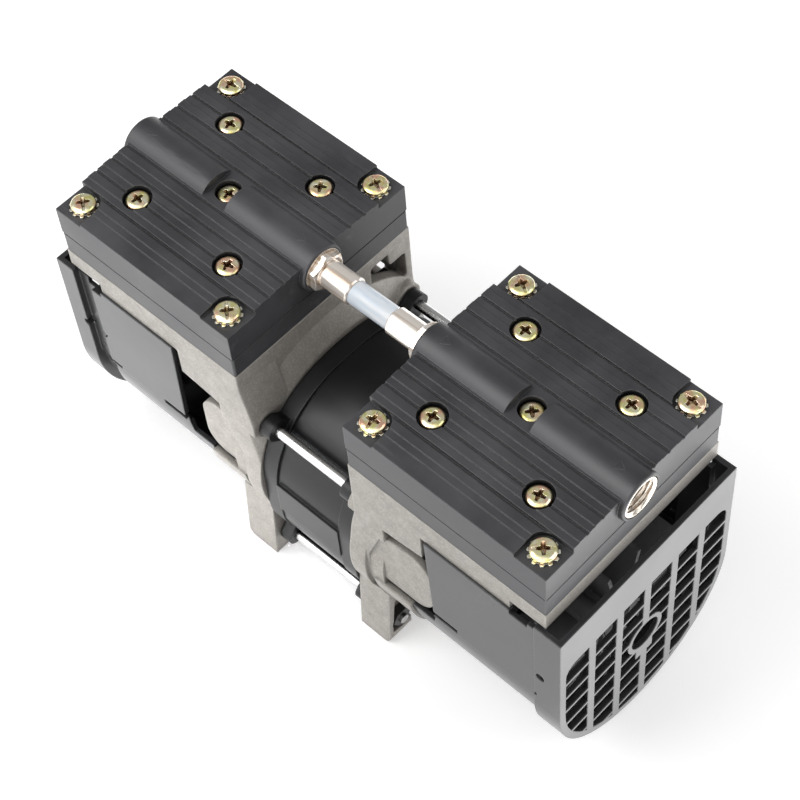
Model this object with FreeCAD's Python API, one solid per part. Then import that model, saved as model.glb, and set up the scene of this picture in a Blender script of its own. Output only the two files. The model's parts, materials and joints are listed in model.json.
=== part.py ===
import FreeCAD, Part
import math
import os

# Twin head diaphragm vacuum pump, in millimetres.
# X runs along the motor shaft, Z is up, the feet stand on Z = 0 and the origin is under the middle.
# The right end is drawn and the left end is the same set of castings turned half round the Z axis,
# except the heads, which both point the same way because the air runs through them in series.

V = FreeCAD.Vector

# Widths across the machine, each stepped from the shroud's
shroud_half = 40.4
side_step = 0.8
head_step = 0.1
cap_proud = 0.5
tray_step = 1.2
shell_step = 0.1
ring_proud = 0.6
side_y = shroud_half - side_step
head_half = side_y - head_step
cap_half = shroud_half + cap_proud
shroud_low_r = shroud_half - tray_step
shell_r = shroud_half - shell_step
ring_r = shroud_half + ring_proud

# Main stations
shaft_z = 45.0
head_x = 63.8
wall_to_ring = 3.8
inner_wall_x = head_x - head_half
ring_face_x = inner_wall_x - wall_to_ring

# Fits, and how far a cut runs past the piece it goes through
fit = 0.05
free = 0.3
screw_play = 0.1
run_play = 0.08
overrun = 12.0

# Tie rods
rod_in = 7.0
rod_up = 29.0
rod_down = 35.8
rod_r = 1.8
rod_past = 10.7
nut_flats = 7.0
nut_thick = 3.2
nut_spare = 1.2
nut_room = 0.8
rod_across = shroud_half - rod_in
rod_reach = inner_wall_x + rod_past
nut_seat_x = rod_reach - nut_spare - nut_thick

# Shaft, bearings and eccentric
shaft_r = 4.0
main_outer_r = 11.0
main_inner_r = 6.2
main_ring = 1.9
main_wide = 7.0
main_in = 1.7
main_x = inner_wall_x + main_in
throw = 2.5
journal_r = 7.5
rod_bearing_r = 16.0
rod_bearing_wide = 9.0
rod_bearing_inner_r = 9.4
rod_bearing_ring = 2.2
weight_r = 23.0
weight_thick = 6.0
weight_gap = 1.2
sleeve_len = 8.0
set_screw_r = 1.5

# Connecting rod and diaphragm
eye_wall = 4.0
rod_wide = 8.0
shank_top_wide = 12.0
shank_low_wide = 20.0
table_thick = 3.0
membrane = 1.5
clamp_thick = 2.5
clamp_screw_r = 2.5
clamp_screw_long = 8.0
clamp_head_r = 4.6
rim_r = 31.0
rim_grip = 3.0
clamp_in = 12.0
table_in = 2.5
clamp_r = rim_r - clamp_in
table_r = clamp_r - table_in
shank_web_low = 7.0
shank_web_top = 8.0
fold_r = 2.2
fold_rise = 1.2
dome_gap = 0.6

# Die cast bracket
deck_thick = 7.4
deck_bottom = 95.3
bore_in = 3.5
deck_bore_r = rim_r - bore_in
lip_low = 91.1
lip_end_x = 89.2
lip_thick = 3.0
skirt_thick = 3.2
skirt_end_x = 53.3
skirt_low_out = 79.5
skirt_low_in = 76.1
skirt_foot = 3.2
wall_thick = 4.0
ring_wall = 2.6
ring_long = 13.5
ring_step = 1.5
band_wide = 6.8
ring_bore_r = ring_r - ring_wall
ring_back_x = ring_face_x + ring_long
band_back_x = ring_face_x + band_wide
ear_r = 5.4
ear_fillet_up = 2.5
ear_fillet_low = 5.0
hood_rise = 9.0
hood_r = ring_r + hood_rise
pad_wide = 16.6
pad_low = 74.0
hub_r = 15.0
hub_past = 9.7
hub_back_x = inner_wall_x + hub_past
web_in = 2.7
web_x = inner_wall_x + web_in
web_thick = 3.5
web_window_r = 7.5
web_window_at = 26.0
column_low = 45.0
column_waist = 50.7
column_top_x = 36.4
column_round = 2.0
tongue_step = 1.2
tongue_thick = 2.6
tongue_low = 43.2
tongue_top_in = 69.4
tongue_top_out = 70.7
tongue_reach_a = 55.1
tongue_reach_b = 48.0
tongue_round = 8.0
shell_wall = 2.4
shell_end_x = 46.0
shell_top = 40.2
foot_wide = 10.9
foot_long = 13.5
foot_top = 30.5
foot_lean = 2.2
foot_round = 3.0
foot_wall = 2.0
pocket_low = 5.0
pocket_top = 24.0
foot_hole_r = 2.1
foot_hole_deep = 6.5
foot_hole_in = 5.4
foot_hole_past = 3.2
foot_in_y = shroud_half - foot_wide
foot_back_x = ring_face_x + foot_long
window_low = 79.5
window_top_in = 98.0
window_top_out = 92.0
window_wide = 16.0
window_step = 7.5
window_edge = 2.6
window_round = 1.5

# Head
plate_thick = 8.5
gasket_thick = 0.5
gasket_inset = 1.2
cover_thick = 12.3
land_drop = 0.9
land_side = 12.0
land_round = 5.0
lamella_pitch = 6.7
lamella_first = 7.4
lamella_top = [2.4, 2.2, 1.9, 1.3]
edge_rise = 0.7
edge_fall = 0.3
groove_wide = 1.0
groove_deep = 0.6
fine_step = 0.3
boss_r = 8.5
boss_drop = 3.0
boss_past = 2.0
notch_back = 5.3
notch_front = 4.6
corner_screw_in = 6.5
corner_screw_at = head_half - corner_screw_in
inner_screw_at = 20.6
corner_screw_r = 2.5
corner_head_r = 4.2
corner_head = 2.2
washer_r = 4.4
washer_thick = 0.6
inner_screw_r = 2.0
inner_head_r = 3.9
inner_head = 3.0
inner_sink_r = 4.9
inner_sink_top = 1.9
centre_sink_r = 4.5
centre_sink_top = 1.1
port_bore_r = 5.0
port_bore_end = 16.0
chamber_in = 12.0
chamber_out = 29.0
chamber_half = 13.0
chamber_deep = 6.5
valve_hole_r = 1.8
reed_r = 2.5
reed_thick = 0.3
reed_stem = 4.0
reed_long = 12.0
reed_at = 15.0
reed_across = 8.0

# Port inserts, fittings and the link tube
insert_r = 7.4
insert_bore_r = 5.72
insert_long = 10.0
hex_flats = 12.2
hex_long = 2.8
hex_chamfer = 0.9
stub_r = 5.5
nose_long = 9.0
sleeve_r = 4.8
sleeve_long = 11.4
sleeve_chamfer = 0.6
tube_r = 4.1
tube_bore_r = 3.0
fitting_bore_r = 2.2

# Motor
core_gap = 6.5
core_in = 2.1
core_flat = 3.0
core_shoulder = 2.9
core_low = 12.9
core_rib = 0.9
rib_low = 36.0
rib_top = 51.0
core_half = ring_face_x - core_gap
core_side = ring_r - core_in
core_rise = ring_r - core_flat
core_arch = core_side - core_shoulder
core_corner = core_side - core_low
cap_step = 0.4
cap_shoulder = 1.5
lobe_wide = 4.2
lobe_long = 4.5
air_gap = 0.4
winding_room = 4.4
winding_deep = 9.0
winding_out_r = ring_bore_r - winding_room
winding_in_r = winding_out_r - winding_deep
bore_step = 2.0
stator_bore_r = winding_in_r - bore_step
winding_long = 5.0
cap_wall = 1.6
end_ring_in = 3.0
end_ring_wide = 8.0
end_ring_thick = 3.0

# Fan
fan_in = 7.4
fan_r = shroud_half - fan_in
fan_x = 86.5
fan_plate = 1.6
fan_deep = 14.0
fan_hub_r = 8.0
fan_hub_back = 4.0
shaft_short = 1.5
shaft_reach = fan_x + fan_deep - shaft_short
fan_blades = 14
blade_thick = 1.4
blade_in_r = 12.0

# Fan shroud and grille cap
shroud_wall = 1.8
shroud_top = 91.0
shroud_gap_x = 0.4
shroud_front_low_x = shell_end_x + shroud_gap_x
shroud_front_x = 55.4
shroud_slant = 1.8
shroud_tail_a = 99.3
shroud_tail_b = 94.3
shroud_shelf = 48.0
band_low = 14.0
slot_long = 10.0
slot_high = 2.2
slot_up = 0.6
slit_long = 5.5
slit_high = 1.4
notch_long = 7.2
notch_deep = 2.0
cap_top = 93.5
cap_face_x = 110.0
cap_thick = 1.8
cap_lip_a = 99.6
cap_lip_b = 102.0
bar_count = 5
bar_pitch = 13.0
bar_wide = 3.1
rib_first = 65.5
rib_pitch = 9.0
rib_high = 1.3
grille_top = 75.2
grille_rim = 2.7
grille_round = 5.0
grille_hub_r = 8.2
grille_hub_bore_r = 6.4
grille_ear = 4.0
spigot = 6.0
spigot_wall = 1.5
cap_skirt_in = 2.3
hanger_x0 = 62.0
hanger_x1 = 84.0
hanger_drop = 4.0
catch_r = 1.7
catch_x = 102.0
catch_z = 64.5
catch_deep = 3.0
pin_hole_r = 0.8
pin_hole_x = 99.9
pin_hole_z = 51.5

# Derived heights of the stack on top of the casting
deck_top = deck_bottom + deck_thick
plate_top = deck_top + plate_thick
cover_base = plate_top + gasket_thick
rib_base = cover_base + cover_thick
land_z = rib_base - land_drop
boss_z = rib_base - boss_drop
boss_half = head_half + boss_past
membrane_z = deck_top - 0.5 * membrane
dome_top = membrane_z + 0.5 * membrane + clamp_thick + throw + dome_gap
foot_hole_x = inner_wall_x + foot_hole_past
foot_hole_y = shroud_half - foot_hole_in


def block(x0, x1, y0, y1, z0, z1):
    return Part.makeBox(x1 - x0, y1 - y0, z1 - z0, V(x0, y0, z0))


def rod_x(r, x0, x1, y=0.0, z=shaft_z):
    return Part.makeCylinder(r, x1 - x0, V(x0, y, z), V(1, 0, 0))


def rod_y(r, y0, y1, x, z):
    return Part.makeCylinder(r, y1 - y0, V(x, y0, z), V(0, 1, 0))


def rod_z(r, z0, z1, x=0.0, y=0.0):
    return Part.makeCylinder(r, z1 - z0, V(x, y, z0), V(0, 0, 1))


def ring_x(r_out, r_in, x0, x1, y=0.0, z=shaft_z):
    return rod_x(r_out, x0, x1, y, z).cut(rod_x(r_in, x0 - 1, x1 + 1, y, z))


def outline(points, radii=None):
    """Closed wire through points, with the corners rounded by radii (one value or one for each)."""
    count = len(points)
    if radii is None:
        radii = 0.0
    if not isinstance(radii, (list, tuple)):
        radii = [radii] * count
    edges = []
    ends = []
    for i, corner in enumerate(points):
        before, after = points[i - 1], points[(i + 1) % count]
        r = radii[i]
        if r <= 0:
            ends.append((corner, corner, None))
            continue
        to_before = (before - corner).normalize()
        to_after = (after - corner).normalize()
        half = 0.5 * to_before.getAngle(to_after)
        run = r / math.tan(half)
        middle = (to_before + to_after).normalize() * (r / math.sin(half) - r)
        ends.append((corner + to_before * run, corner + to_after * run, corner + middle))
    for i in range(count):
        start, stop, middle = ends[i]
        if middle is not None:
            edges.append(Part.Arc(start, middle, stop).toShape())
        following = ends[(i + 1) % count][0]
        if stop.distanceToPoint(following) > 1e-6:
            edges.append(Part.LineSegment(stop, following).toShape())
    return Part.Wire(edges)


def prism_x(pairs, x0, x1, radii=None):
    points = [V(x0, y, z) for y, z in pairs]
    return Part.Face(outline(points, radii)).extrude(V(x1 - x0, 0, 0))


def prism_y(pairs, y0, y1, radii=None):
    points = [V(x, y0, z) for x, z in pairs]
    return Part.Face(outline(points, radii)).extrude(V(0, y1 - y0, 0))


def prism_z(pairs, z0, z1, radii=None):
    points = [V(x, y, z0) for x, y in pairs]
    return Part.Face(outline(points, radii)).extrude(V(0, 0, z1 - z0))


def turned_x(pairs, y=0.0, z=shaft_z):
    """Solid turned about an axis along X from (x, radius) pairs."""
    points = [V(x, y, z + r) for x, r in pairs]
    return Part.Face(outline(points)).revolve(V(0, y, z), V(1, 0, 0), 360)


def turned_z(pairs, x=0.0, y=0.0):
    """Solid turned about an axis along Z from (radius, z) pairs."""
    points = [V(x + r, y, z) for r, z in pairs]
    return Part.Face(outline(points)).revolve(V(x, y, 0), V(0, 0, 1), 360)


def hexagon_x(flats, x0, x1, z):
    points = []
    for i in range(6):
        a = math.radians(60 * i + 30)
        r = flats / math.sqrt(3)
        points.append((r * math.cos(a), z + r * math.sin(a)))
    return prism_x(points, x0, x1)


def joined(pieces):
    first = pieces[0]
    if len(pieces) > 1:
        first = first.multiFuse(pieces[1:])
    return first.removeSplitter()


def both_sides(shape):
    """The shape and its mirror image across the middle plane Y = 0."""
    return [shape, shape.mirror(V(0, 0, 0), V(0, 1, 0))]


def turned_round(shape):
    """The same piece at the left end, turned half round the Z axis."""
    copy = shape.copy()
    copy.rotate(V(0, 0, 0), V(0, 0, 1), 180)
    return copy


def moved(shape, x=0.0, y=0.0, z=0.0):
    copy = shape.copy()
    copy.translate(V(x, y, z))
    return copy


def save(name, pieces):
    solids = []
    for piece in pieces:
        solids.extend(piece.Solids)
    shape = solids[0] if len(solids) == 1 else Part.makeCompound(solids)
    shape.exportStep("parts/" + name + ".step")
    box = shape.BoundBox
    ends = (box.XMin, box.XMax, box.YMin, box.YMax, box.ZMin, box.ZMax)
    print(name, len(solids), "valid", shape.isValid(), "vol %.0f" % shape.Volume,
          "x %.1f %.1f y %.1f %.1f z %.1f %.1f" % ends)


def rod_places():
    """Centres of the four tie rods as (y, z)."""
    return [(side * rod_across, shaft_z + rise) for side in (-1, 1) for rise in (-rod_down, rod_up)]


def rod_lobes(r, x0, x1):
    """Round lobe about each tie rod with an arm of the same width in towards the shaft."""
    lobes = []
    for y, z in rod_places():
        reach = math.hypot(y, z - shaft_z)
        arm = block(x0, x1, 0, reach, -r, r)
        arm.rotate(V(0, 0, 0), V(1, 0, 0), math.degrees(math.atan2(z - shaft_z, y)))
        arm.translate(V(0, 0, shaft_z))
        lobes.append(arm)
        lobes.append(rod_x(r, x0, x1, y, z))
    return lobes


# Bracket casting

def ring_flange():
    """Ring round the end of the stator: a proud band with an ear at each tie rod, over two feet."""
    band = joined([rod_x(ring_r, ring_face_x, band_back_x)] + rod_lobes(ear_r, ring_face_x, band_back_x))
    upper = []
    lower = []
    for edge in band.Edges:
        box = edge.BoundBox
        straight = box.XLength > 1 and box.YLength < 1e-3 and box.ZLength < 1e-3
        away = math.hypot(box.YMin, box.ZMin - shaft_z)
        if straight and abs(away - ring_r) < 0.05:
            (upper if box.ZMin > shaft_z else lower).append(edge)
    band = band.makeFillet(ear_fillet_up, upper)
    spots = [edge.CenterOfMass for edge in lower]
    lower = [e for e in band.Edges if any(e.CenterOfMass.distanceToPoint(spot) < 0.01 for spot in spots)]
    band = band.makeFillet(ear_fillet_low, lower)
    rear = rod_x(ring_r - ring_step, ring_face_x, ring_back_x)
    ears = rod_lobes(ear_r, ring_face_x, nut_seat_x)
    return joined([band, rear] + ears + both_sides(foot_block()))


def foot_block():
    profile = [(foot_in_y, 0), (shroud_half, 0), (shroud_half - foot_lean, foot_top),
               (foot_in_y + 1, foot_top)]
    foot = prism_x(profile, ring_face_x, foot_back_x)
    low_back = [e for e in foot.Edges if e.BoundBox.XMin > foot_back_x - 0.01 and e.BoundBox.ZMax < 0.01]
    return foot.makeFillet(foot_round, low_back)


def foot_pocket():
    """Pocket cast into the outer end of a foot, where the lower tie rod's nut sits."""
    inner = foot_in_y + foot_wall
    outer = shroud_half - foot_wall
    top_outer = outer - foot_lean
    shape = prism_x([(inner, pocket_low), (outer, pocket_low), (top_outer, pocket_top), (inner, pocket_top)],
                    nut_seat_x, foot_back_x + 1, 1.0)
    return shape.cut(rod_x(ring_r - ring_step, nut_seat_x - 1, foot_back_x + 2))


def upper_wall():
    """Wall under the inner end of the head, its hood over the stator and the pad at one corner."""
    back = inner_wall_x + wall_thick
    wall = block(inner_wall_x, back, -side_y, side_y, pad_low, deck_top)
    hood = turned_x([(ring_face_x, ring_bore_r), (ring_face_x, ring_r), (inner_wall_x, hood_r),
                     (back, hood_r), (back, ring_bore_r)])
    above = block(ring_face_x - 1, ring_back_x, -side_y, side_y, shaft_z, deck_top)
    hood = hood.common(above)
    pad = prism_y([(inner_wall_x, deck_bottom), (ring_face_x, pad_low + 4), (ring_face_x, pad_low - 2),
                   (back, pad_low - 2), (back, deck_bottom)], side_y - pad_wide, side_y)
    return [wall, hood, pad]


def wall_window():
    """Window in the wall on the -Y side, over the hood and round the boss of the corner screw."""
    outer = -side_y + window_edge
    inner = outer + window_wide
    step = outer + window_step
    shape = prism_x([(outer, window_low), (inner, window_low), (inner, window_top_in), (step, window_top_in),
                     (step, window_top_out), (outer, window_top_out)],
                    ring_face_x - 2, inner_wall_x + wall_thick + 1, window_round)
    return shape.cut(rod_x(hood_r, ring_face_x - 3, inner_wall_x + wall_thick + 2))


def side_sheet():
    """Side lip, skirt and column under the deck, on the +Y side."""
    y1 = side_y
    lip = block(inner_wall_x, lip_end_x, y1 - lip_thick, y1, lip_low, deck_top)
    foot_x = inner_wall_x + skirt_foot
    skirt = prism_y([(inner_wall_x, deck_bottom), (skirt_end_x, deck_bottom), (skirt_end_x, skirt_low_out),
                     (foot_x, skirt_low_in), (inner_wall_x, pad_low)], y1 - skirt_thick, y1)
    slope = (skirt_low_out - skirt_low_in) / (skirt_end_x - foot_x)
    under = skirt_low_in + slope * (column_top_x - foot_x)
    column = prism_y([(inner_wall_x - 1, column_low), (band_back_x, column_low), (band_back_x, column_waist),
                      (column_top_x - 2, tongue_top_in), (column_top_x, tongue_top_in),
                      (column_top_x, under + 1), (inner_wall_x, under + 1)],
                     y1 - skirt_thick, y1, [0, 0, column_round, 0, 0, 0, 0])
    return joined([lip, skirt, column])


def tongue(reach):
    """Side plate that reaches out of the column past the crank chamber, on the +Y side."""
    y1 = side_y - tongue_step
    corners = [(web_x, tongue_low), (reach, tongue_low), (reach, tongue_top_out), (web_x, tongue_top_in)]
    return prism_y(corners, y1 - tongue_thick, y1, [0, tongue_round, tongue_round, 0])


def lower_shell():
    shell = ring_x(shell_r, shell_r - shell_wall, ring_back_x - 4, shell_end_x)
    keep = block(ring_back_x - 5, shell_end_x + 1, -ring_r - 1, ring_r + 1, 0, shell_top)
    return shell.common(keep)


def bearing_web():
    """Disc and hub that carry the main bearing, with four windows for cooling air."""
    web = rod_x(ring_bore_r + 1, web_x, web_x + web_thick)
    hub = rod_x(hub_r, inner_wall_x, hub_back_x)
    body = web.fuse(hub)
    for k in range(4):
        a = math.radians(90 * k)
        y = web_window_at * math.cos(a)
        z = shaft_z + web_window_at * math.sin(a)
        body = body.cut(rod_x(web_window_r, web_x - 1, web_x + web_thick + 1, y, z))
    body = body.cut(rod_x(main_outer_r + fit, main_x, hub_back_x + 1))
    return body.cut(rod_x(main_outer_r - 2, inner_wall_x - 1, main_x + 1))


def make_bracket():
    deck = block(inner_wall_x, head_x + head_half, -side_y, side_y, deck_bottom, deck_top)
    bore_boss = rod_z(deck_bore_r + 3, lip_low, deck_bottom + 1, head_x)
    sides = both_sides(side_sheet())
    tongues = [tongue(tongue_reach_b), tongue(tongue_reach_a).mirror(V(0, 0, 0), V(0, 1, 0))]
    body = joined([deck, bore_boss, ring_flange(), lower_shell()] + sides + tongues + upper_wall())
    stator_seat = rod_x(ring_bore_r, ring_face_x - 1, web_x)
    chamber = rod_x(ring_bore_r - 0.8, web_x - 0.01, foot_back_x + 3)
    body = body.cut(stator_seat).cut(chamber)
    body = body.fuse(bearing_web())
    cuts = [rod_z(deck_bore_r, lip_low - 1, deck_top + 1, head_x)]
    cuts.append(rod_z(rim_r + free, deck_top - membrane, deck_top + 1, head_x))
    for sx in (-1, 1):
        for sy in (-1, 1):
            x, y = head_x + sx * corner_screw_at, sy * corner_screw_at
            cuts.append(rod_z(corner_screw_r + screw_play, deck_bottom - 1, deck_top + 1, x, y))
    room_r = nut_flats / math.sqrt(3) + nut_room
    for y, z in rod_places():
        cuts.append(rod_x(rod_r + screw_play, ring_face_x - 1, rod_reach + 2, y, z))
        cuts.append(rod_x(room_r, nut_seat_x, foot_back_x + overrun, y, z))
    for side in (-1, 1):
        cuts.append(rod_z(foot_hole_r, -1, foot_hole_deep, foot_hole_x, side * foot_hole_y))
    cuts += both_sides(foot_pocket())
    cuts.append(wall_window())
    body = body.cut(Part.makeCompound(cuts))
    return body.removeSplitter()


# Head

def square(half, z0, z1, r=0.8):
    return prism_z([(head_x - half, -half), (head_x + half, -half),
                    (head_x + half, half), (head_x - half, half)], z0, z1, r)


def screw_spots(at):
    return [(head_x + sx * at, sy * at) for sx in (-1, 1) for sy in (-1, 1)]


def lamella_profile():
    """Half of the stepped crown across the cover, from the middle out, as (y, z) pairs."""
    pairs = [(0, rib_base + lamella_top[0])]
    y = lamella_first
    for k, rise in enumerate(lamella_top):
        top = rib_base + rise
        following = y + lamella_pitch
        if k == 0:
            pairs.append((y, top))
        pairs += [(y, top - groove_deep), (y + groove_wide, top - groove_deep), (y + groove_wide, top)]
        middle = y + groove_wide + 0.55 * (lamella_pitch - groove_wide)
        pairs += [(middle, top), (middle, top - fine_step), (following, top - fine_step)]
        y = following
    pairs += [(y, rib_base + edge_rise), (head_half, rib_base + edge_rise - edge_fall)]
    return pairs


def make_cover():
    half = lamella_profile()
    across = [(-y, z) for y, z in reversed(half[1:])] + half
    across += [(head_half, cover_base), (-head_half, cover_base)]
    crown = prism_x(across, head_x - head_half, head_x + head_half)
    body = crown
    for sx in (-1, 1):
        for sy in (-1, 1):
            cx, cy = head_x + sx * head_half, sy * head_half
            reach = land_side
            land = [(cx + sx, cy + sy), (cx - sx * reach, cy + sy), (cx - sx * reach, cy - sy * reach),
                    (cx + sx, cy - sy * reach)]
            body = body.cut(prism_z(land, land_z, land_z + overrun, [0, 0, land_round, 0]))
    boss = rod_x(boss_r, head_x - boss_half, head_x + boss_half, 0, boss_z)
    rims = [e for e in boss.Edges if e.BoundBox.XLength < 1e-3]
    boss = boss.makeFillet(0.8, rims)
    below = block(head_x - boss_half - 1, head_x + boss_half + 1, -boss_r - 1, boss_r + 1,
                  cover_base - overrun, cover_base)
    body = body.fuse(boss.cut(below))
    cuts = []
    floor = rib_base + lamella_top[0]
    cuts.append(block(head_x - notch_back, head_x + notch_front, -boss_r, boss_r, floor, floor + overrun))
    centre_seat = rib_base + centre_sink_top - inner_head
    cuts.append(rod_z(centre_sink_r, centre_seat, centre_seat + overrun, head_x))
    cuts.append(rod_z(inner_screw_r + screw_play, cover_base - 1, rib_base + 5, head_x))
    inner_seat = rib_base + inner_sink_top - inner_head
    for x, y in screw_spots(inner_screw_at):
        cuts.append(rod_z(inner_sink_r, inner_seat, inner_seat + overrun, x, y))
        cuts.append(rod_z(inner_screw_r + screw_play, cover_base - 1, rib_base + 5, x, y))
    for x, y in screw_spots(corner_screw_at):
        cuts.append(rod_z(corner_screw_r + screw_play, cover_base - 1, rib_base + 5, x, y))
    for sx in (-1, 1):
        mouth = head_x + sx * boss_half
        deep = head_x + sx * (boss_half - insert_long)
        inner = head_x + sx * port_bore_end
        cuts.append(rod_x(insert_r + fit, min(mouth + sx, deep), max(mouth + sx, deep), 0, boss_z))
        cuts.append(rod_x(port_bore_r, min(deep, inner), max(deep, inner), 0, boss_z))
        near, far = head_x + sx * chamber_in, head_x + sx * chamber_out
        room = [(near, -chamber_half), (far, -chamber_half), (far, chamber_half), (near, chamber_half)]
        cuts.append(prism_z(room, cover_base - 1, cover_base + chamber_deep, 2.0))
    return body.cut(Part.makeCompound(cuts)).removeSplitter()


def port_windows(z0, z1):
    """Inlet and outlet holes through the plate and gasket, two to each chamber."""
    holes = []
    for sx in (-1, 1):
        for sy in (-1, 1):
            holes.append(rod_z(valve_hole_r, z0, z1, head_x + sx * reed_at, sy * reed_across))
    return holes


def make_plate():
    body = square(head_half, deck_top, plate_top)
    base_r = rim_r - rim_grip
    dome = turned_z([(0, deck_top - 1), (base_r, deck_top - 1), (base_r, deck_top + fold_rise + free),
                     (clamp_r + throw + 0.4, dome_top), (0, dome_top)], head_x)
    cuts = [dome] + port_windows(deck_top, plate_top + 1)
    for x, y in screw_spots(corner_screw_at):
        cuts.append(rod_z(corner_screw_r + screw_play, deck_top - 1, plate_top + 1, x, y))
    for x, y in screw_spots(inner_screw_at) + [(head_x, 0)]:
        cuts.append(rod_z(inner_screw_r + screw_play, plate_top - 2.0, plate_top + 1, x, y))
    return body.cut(Part.makeCompound(cuts))


def make_gasket():
    body = square(head_half - gasket_inset, plate_top, cover_base)
    cuts = []
    for x, y in screw_spots(corner_screw_at):
        cuts.append(rod_z(corner_screw_r + screw_play, plate_top - 1, cover_base + 1, x, y))
    for x, y in screw_spots(inner_screw_at) + [(head_x, 0)]:
        cuts.append(rod_z(inner_screw_r + screw_play, plate_top - 1, cover_base + 1, x, y))
    for sx in (-1, 1):
        near, far = head_x + sx * chamber_in, head_x + sx * chamber_out
        room = [(near, -chamber_half), (far, -chamber_half), (far, chamber_half), (near, chamber_half)]
        cuts.append(prism_z(room, plate_top - 1, cover_base + 1, 2.0))
    return body.cut(Part.makeCompound(cuts))


def make_reeds():
    """Two tongue valves that lie on the plate inside the chambers of the cover."""
    reeds = []
    for sx in (-1, 1):
        for sy in (-1, 1):
            x, y = head_x + sx * reed_at, sy * reed_across
            head = rod_z(reed_r, plate_top, plate_top + reed_thick, x, y)
            stem = block(min(x, x + sx * reed_long), max(x, x + sx * reed_long), y - reed_stem / 2,
                         y + reed_stem / 2, plate_top, plate_top + reed_thick)
            reeds.append(joined([head, stem]))
    return reeds


def pan_screw(x, y, seat, head_r, head_high, shank_r, low):
    """Pan head screw whose head sits on seat and whose shank ends at low."""
    brim = seat + 0.55 * head_high
    crown = seat + 0.93 * head_high
    return turned_z([(0, low), (shank_r, low), (shank_r, seat), (head_r, seat), (head_r, brim),
                     (0.72 * head_r, crown), (0, seat + head_high)], x, y)


def corner_screws():
    seat = land_z + washer_thick
    return [pan_screw(x, y, seat, corner_head_r, corner_head, corner_screw_r, deck_bottom + 0.6)
            for x, y in screw_spots(corner_screw_at)]


def corner_washers():
    washers = []
    for x, y in screw_spots(corner_screw_at):
        disc = rod_z(washer_r, land_z, land_z + washer_thick, x, y)
        washers.append(disc.cut(rod_z(corner_screw_r + screw_play, land_z - 1, land_z + 2, x, y)))
    return washers


def inner_screws():
    seat = rib_base + inner_sink_top - inner_head
    low = plate_top - 1.8
    screws = [pan_screw(x, y, seat, inner_head_r, inner_head, inner_screw_r, low)
              for x, y in screw_spots(inner_screw_at)]
    seat = rib_base + centre_sink_top - inner_head
    screws.append(pan_screw(head_x, 0, seat, inner_head_r, inner_head, inner_screw_r, low))
    return screws


def make_insert(side):
    """Threaded bush pressed into one end of the port boss, side +1 or -1 along X."""
    mouth = head_x + side * boss_half
    deep = head_x + side * (boss_half - insert_long)
    return ring_x(insert_r, insert_bore_r, min(mouth, deep), max(mouth, deep), 0, boss_z)


# Link between the heads

def link_mouth():
    return head_x - boss_half


def make_fitting():
    """Hexagon fitting in the right head's inner port, with its nose inside the tube."""
    mouth = link_mouth()
    face = mouth - hex_long
    hexagon = hexagon_x(hex_flats, face, mouth, boss_z)
    corner_r = hex_flats / math.sqrt(3) + free
    flat_r = 0.5 * hex_flats - free
    rounder = turned_x([(face, 0), (face, flat_r), (face + hex_chamfer, corner_r), (mouth, corner_r),
                        (mouth, 0)], 0, boss_z)
    stub = rod_x(stub_r, mouth - 0.01, mouth + insert_long - 1, 0, boss_z)
    nose = rod_x(tube_bore_r - fit, face - nose_long, face + 0.01, 0, boss_z)
    body = joined([hexagon.common(rounder), stub, nose])
    return body.cut(rod_x(fitting_bore_r, face - nose_long - 1, mouth + insert_long, 0, boss_z))


def make_sleeve():
    """Round sleeve over the end of the link tube, against the hexagon."""
    back = link_mouth() - hex_long
    front = back - sleeve_long
    body = turned_x([(front, 0), (front, sleeve_r - sleeve_chamfer), (front + sleeve_chamfer, sleeve_r),
                     (back, sleeve_r), (back, 0)], 0, boss_z)
    return body.cut(rod_x(tube_r + fit, front - 1, back + 1, 0, boss_z))


def make_tube():
    end = link_mouth() - hex_long
    return ring_x(tube_r, tube_bore_r, -end, end, 0, boss_z)


# Running gear

def throw_z():
    """Height of the eccentric's centre at the right end, which rests at the top of its throw."""
    return shaft_z + throw


def make_shaft():
    body = rod_x(shaft_r, -shaft_reach, shaft_reach)
    rims = [e for e in body.Edges if e.BoundBox.XLength < 1e-3]
    return body.makeChamfer(0.5, rims)


def bearing_outer(r_out, ring, r_in, x0, wide, z):
    """Outer race and its two shields as one piece, open at the shield lips."""
    lip = r_in + run_play
    shield = 0.8
    x1 = x0 + wide
    return turned_x([(x0, lip), (x0, r_out), (x1, r_out), (x1, lip), (x1 - shield, lip),
                     (x1 - shield, r_out - ring), (x0 + shield, r_out - ring), (x0 + shield, lip)], 0, z)


def make_eccentric():
    """Eccentric journal with its clamping sleeve and the counterweight beside the rod."""
    x0 = head_x - rod_bearing_wide / 2
    x1 = head_x + rod_bearing_wide / 2
    journal = rod_x(journal_r, x0, x1 + weight_gap, 0, throw_z())
    sleeve = rod_x(journal_r, x0 - sleeve_len, x0)
    shoulder = rod_x(journal_r + 1.4, x0 - 1.5, x0, 0, throw_z())
    weight_x = x1 + weight_gap
    weight = rod_x(weight_r, weight_x, weight_x + weight_thick)
    trim = [(-weight_r - 1, shaft_z + 2), (weight_r + 1, shaft_z + 2),
            (weight_r + 1, shaft_z + weight_r + 1), (-weight_r - 1, shaft_z + weight_r + 1)]
    weight = weight.cut(prism_x(trim, weight_x - 1, weight_x + weight_thick + 1))
    collar = rod_x(journal_r + 3.5, weight_x, weight_x + weight_thick)
    body = joined([journal, sleeve, shoulder, weight, collar])
    body = body.cut(rod_x(shaft_r + fit, x0 - sleeve_len - 1, weight_x + weight_thick + 1))
    screw_x = x0 - sleeve_len / 2 - 0.5
    return body.cut(rod_z(set_screw_r + fit, shaft_z - journal_r - 1, shaft_z, screw_x))


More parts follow.
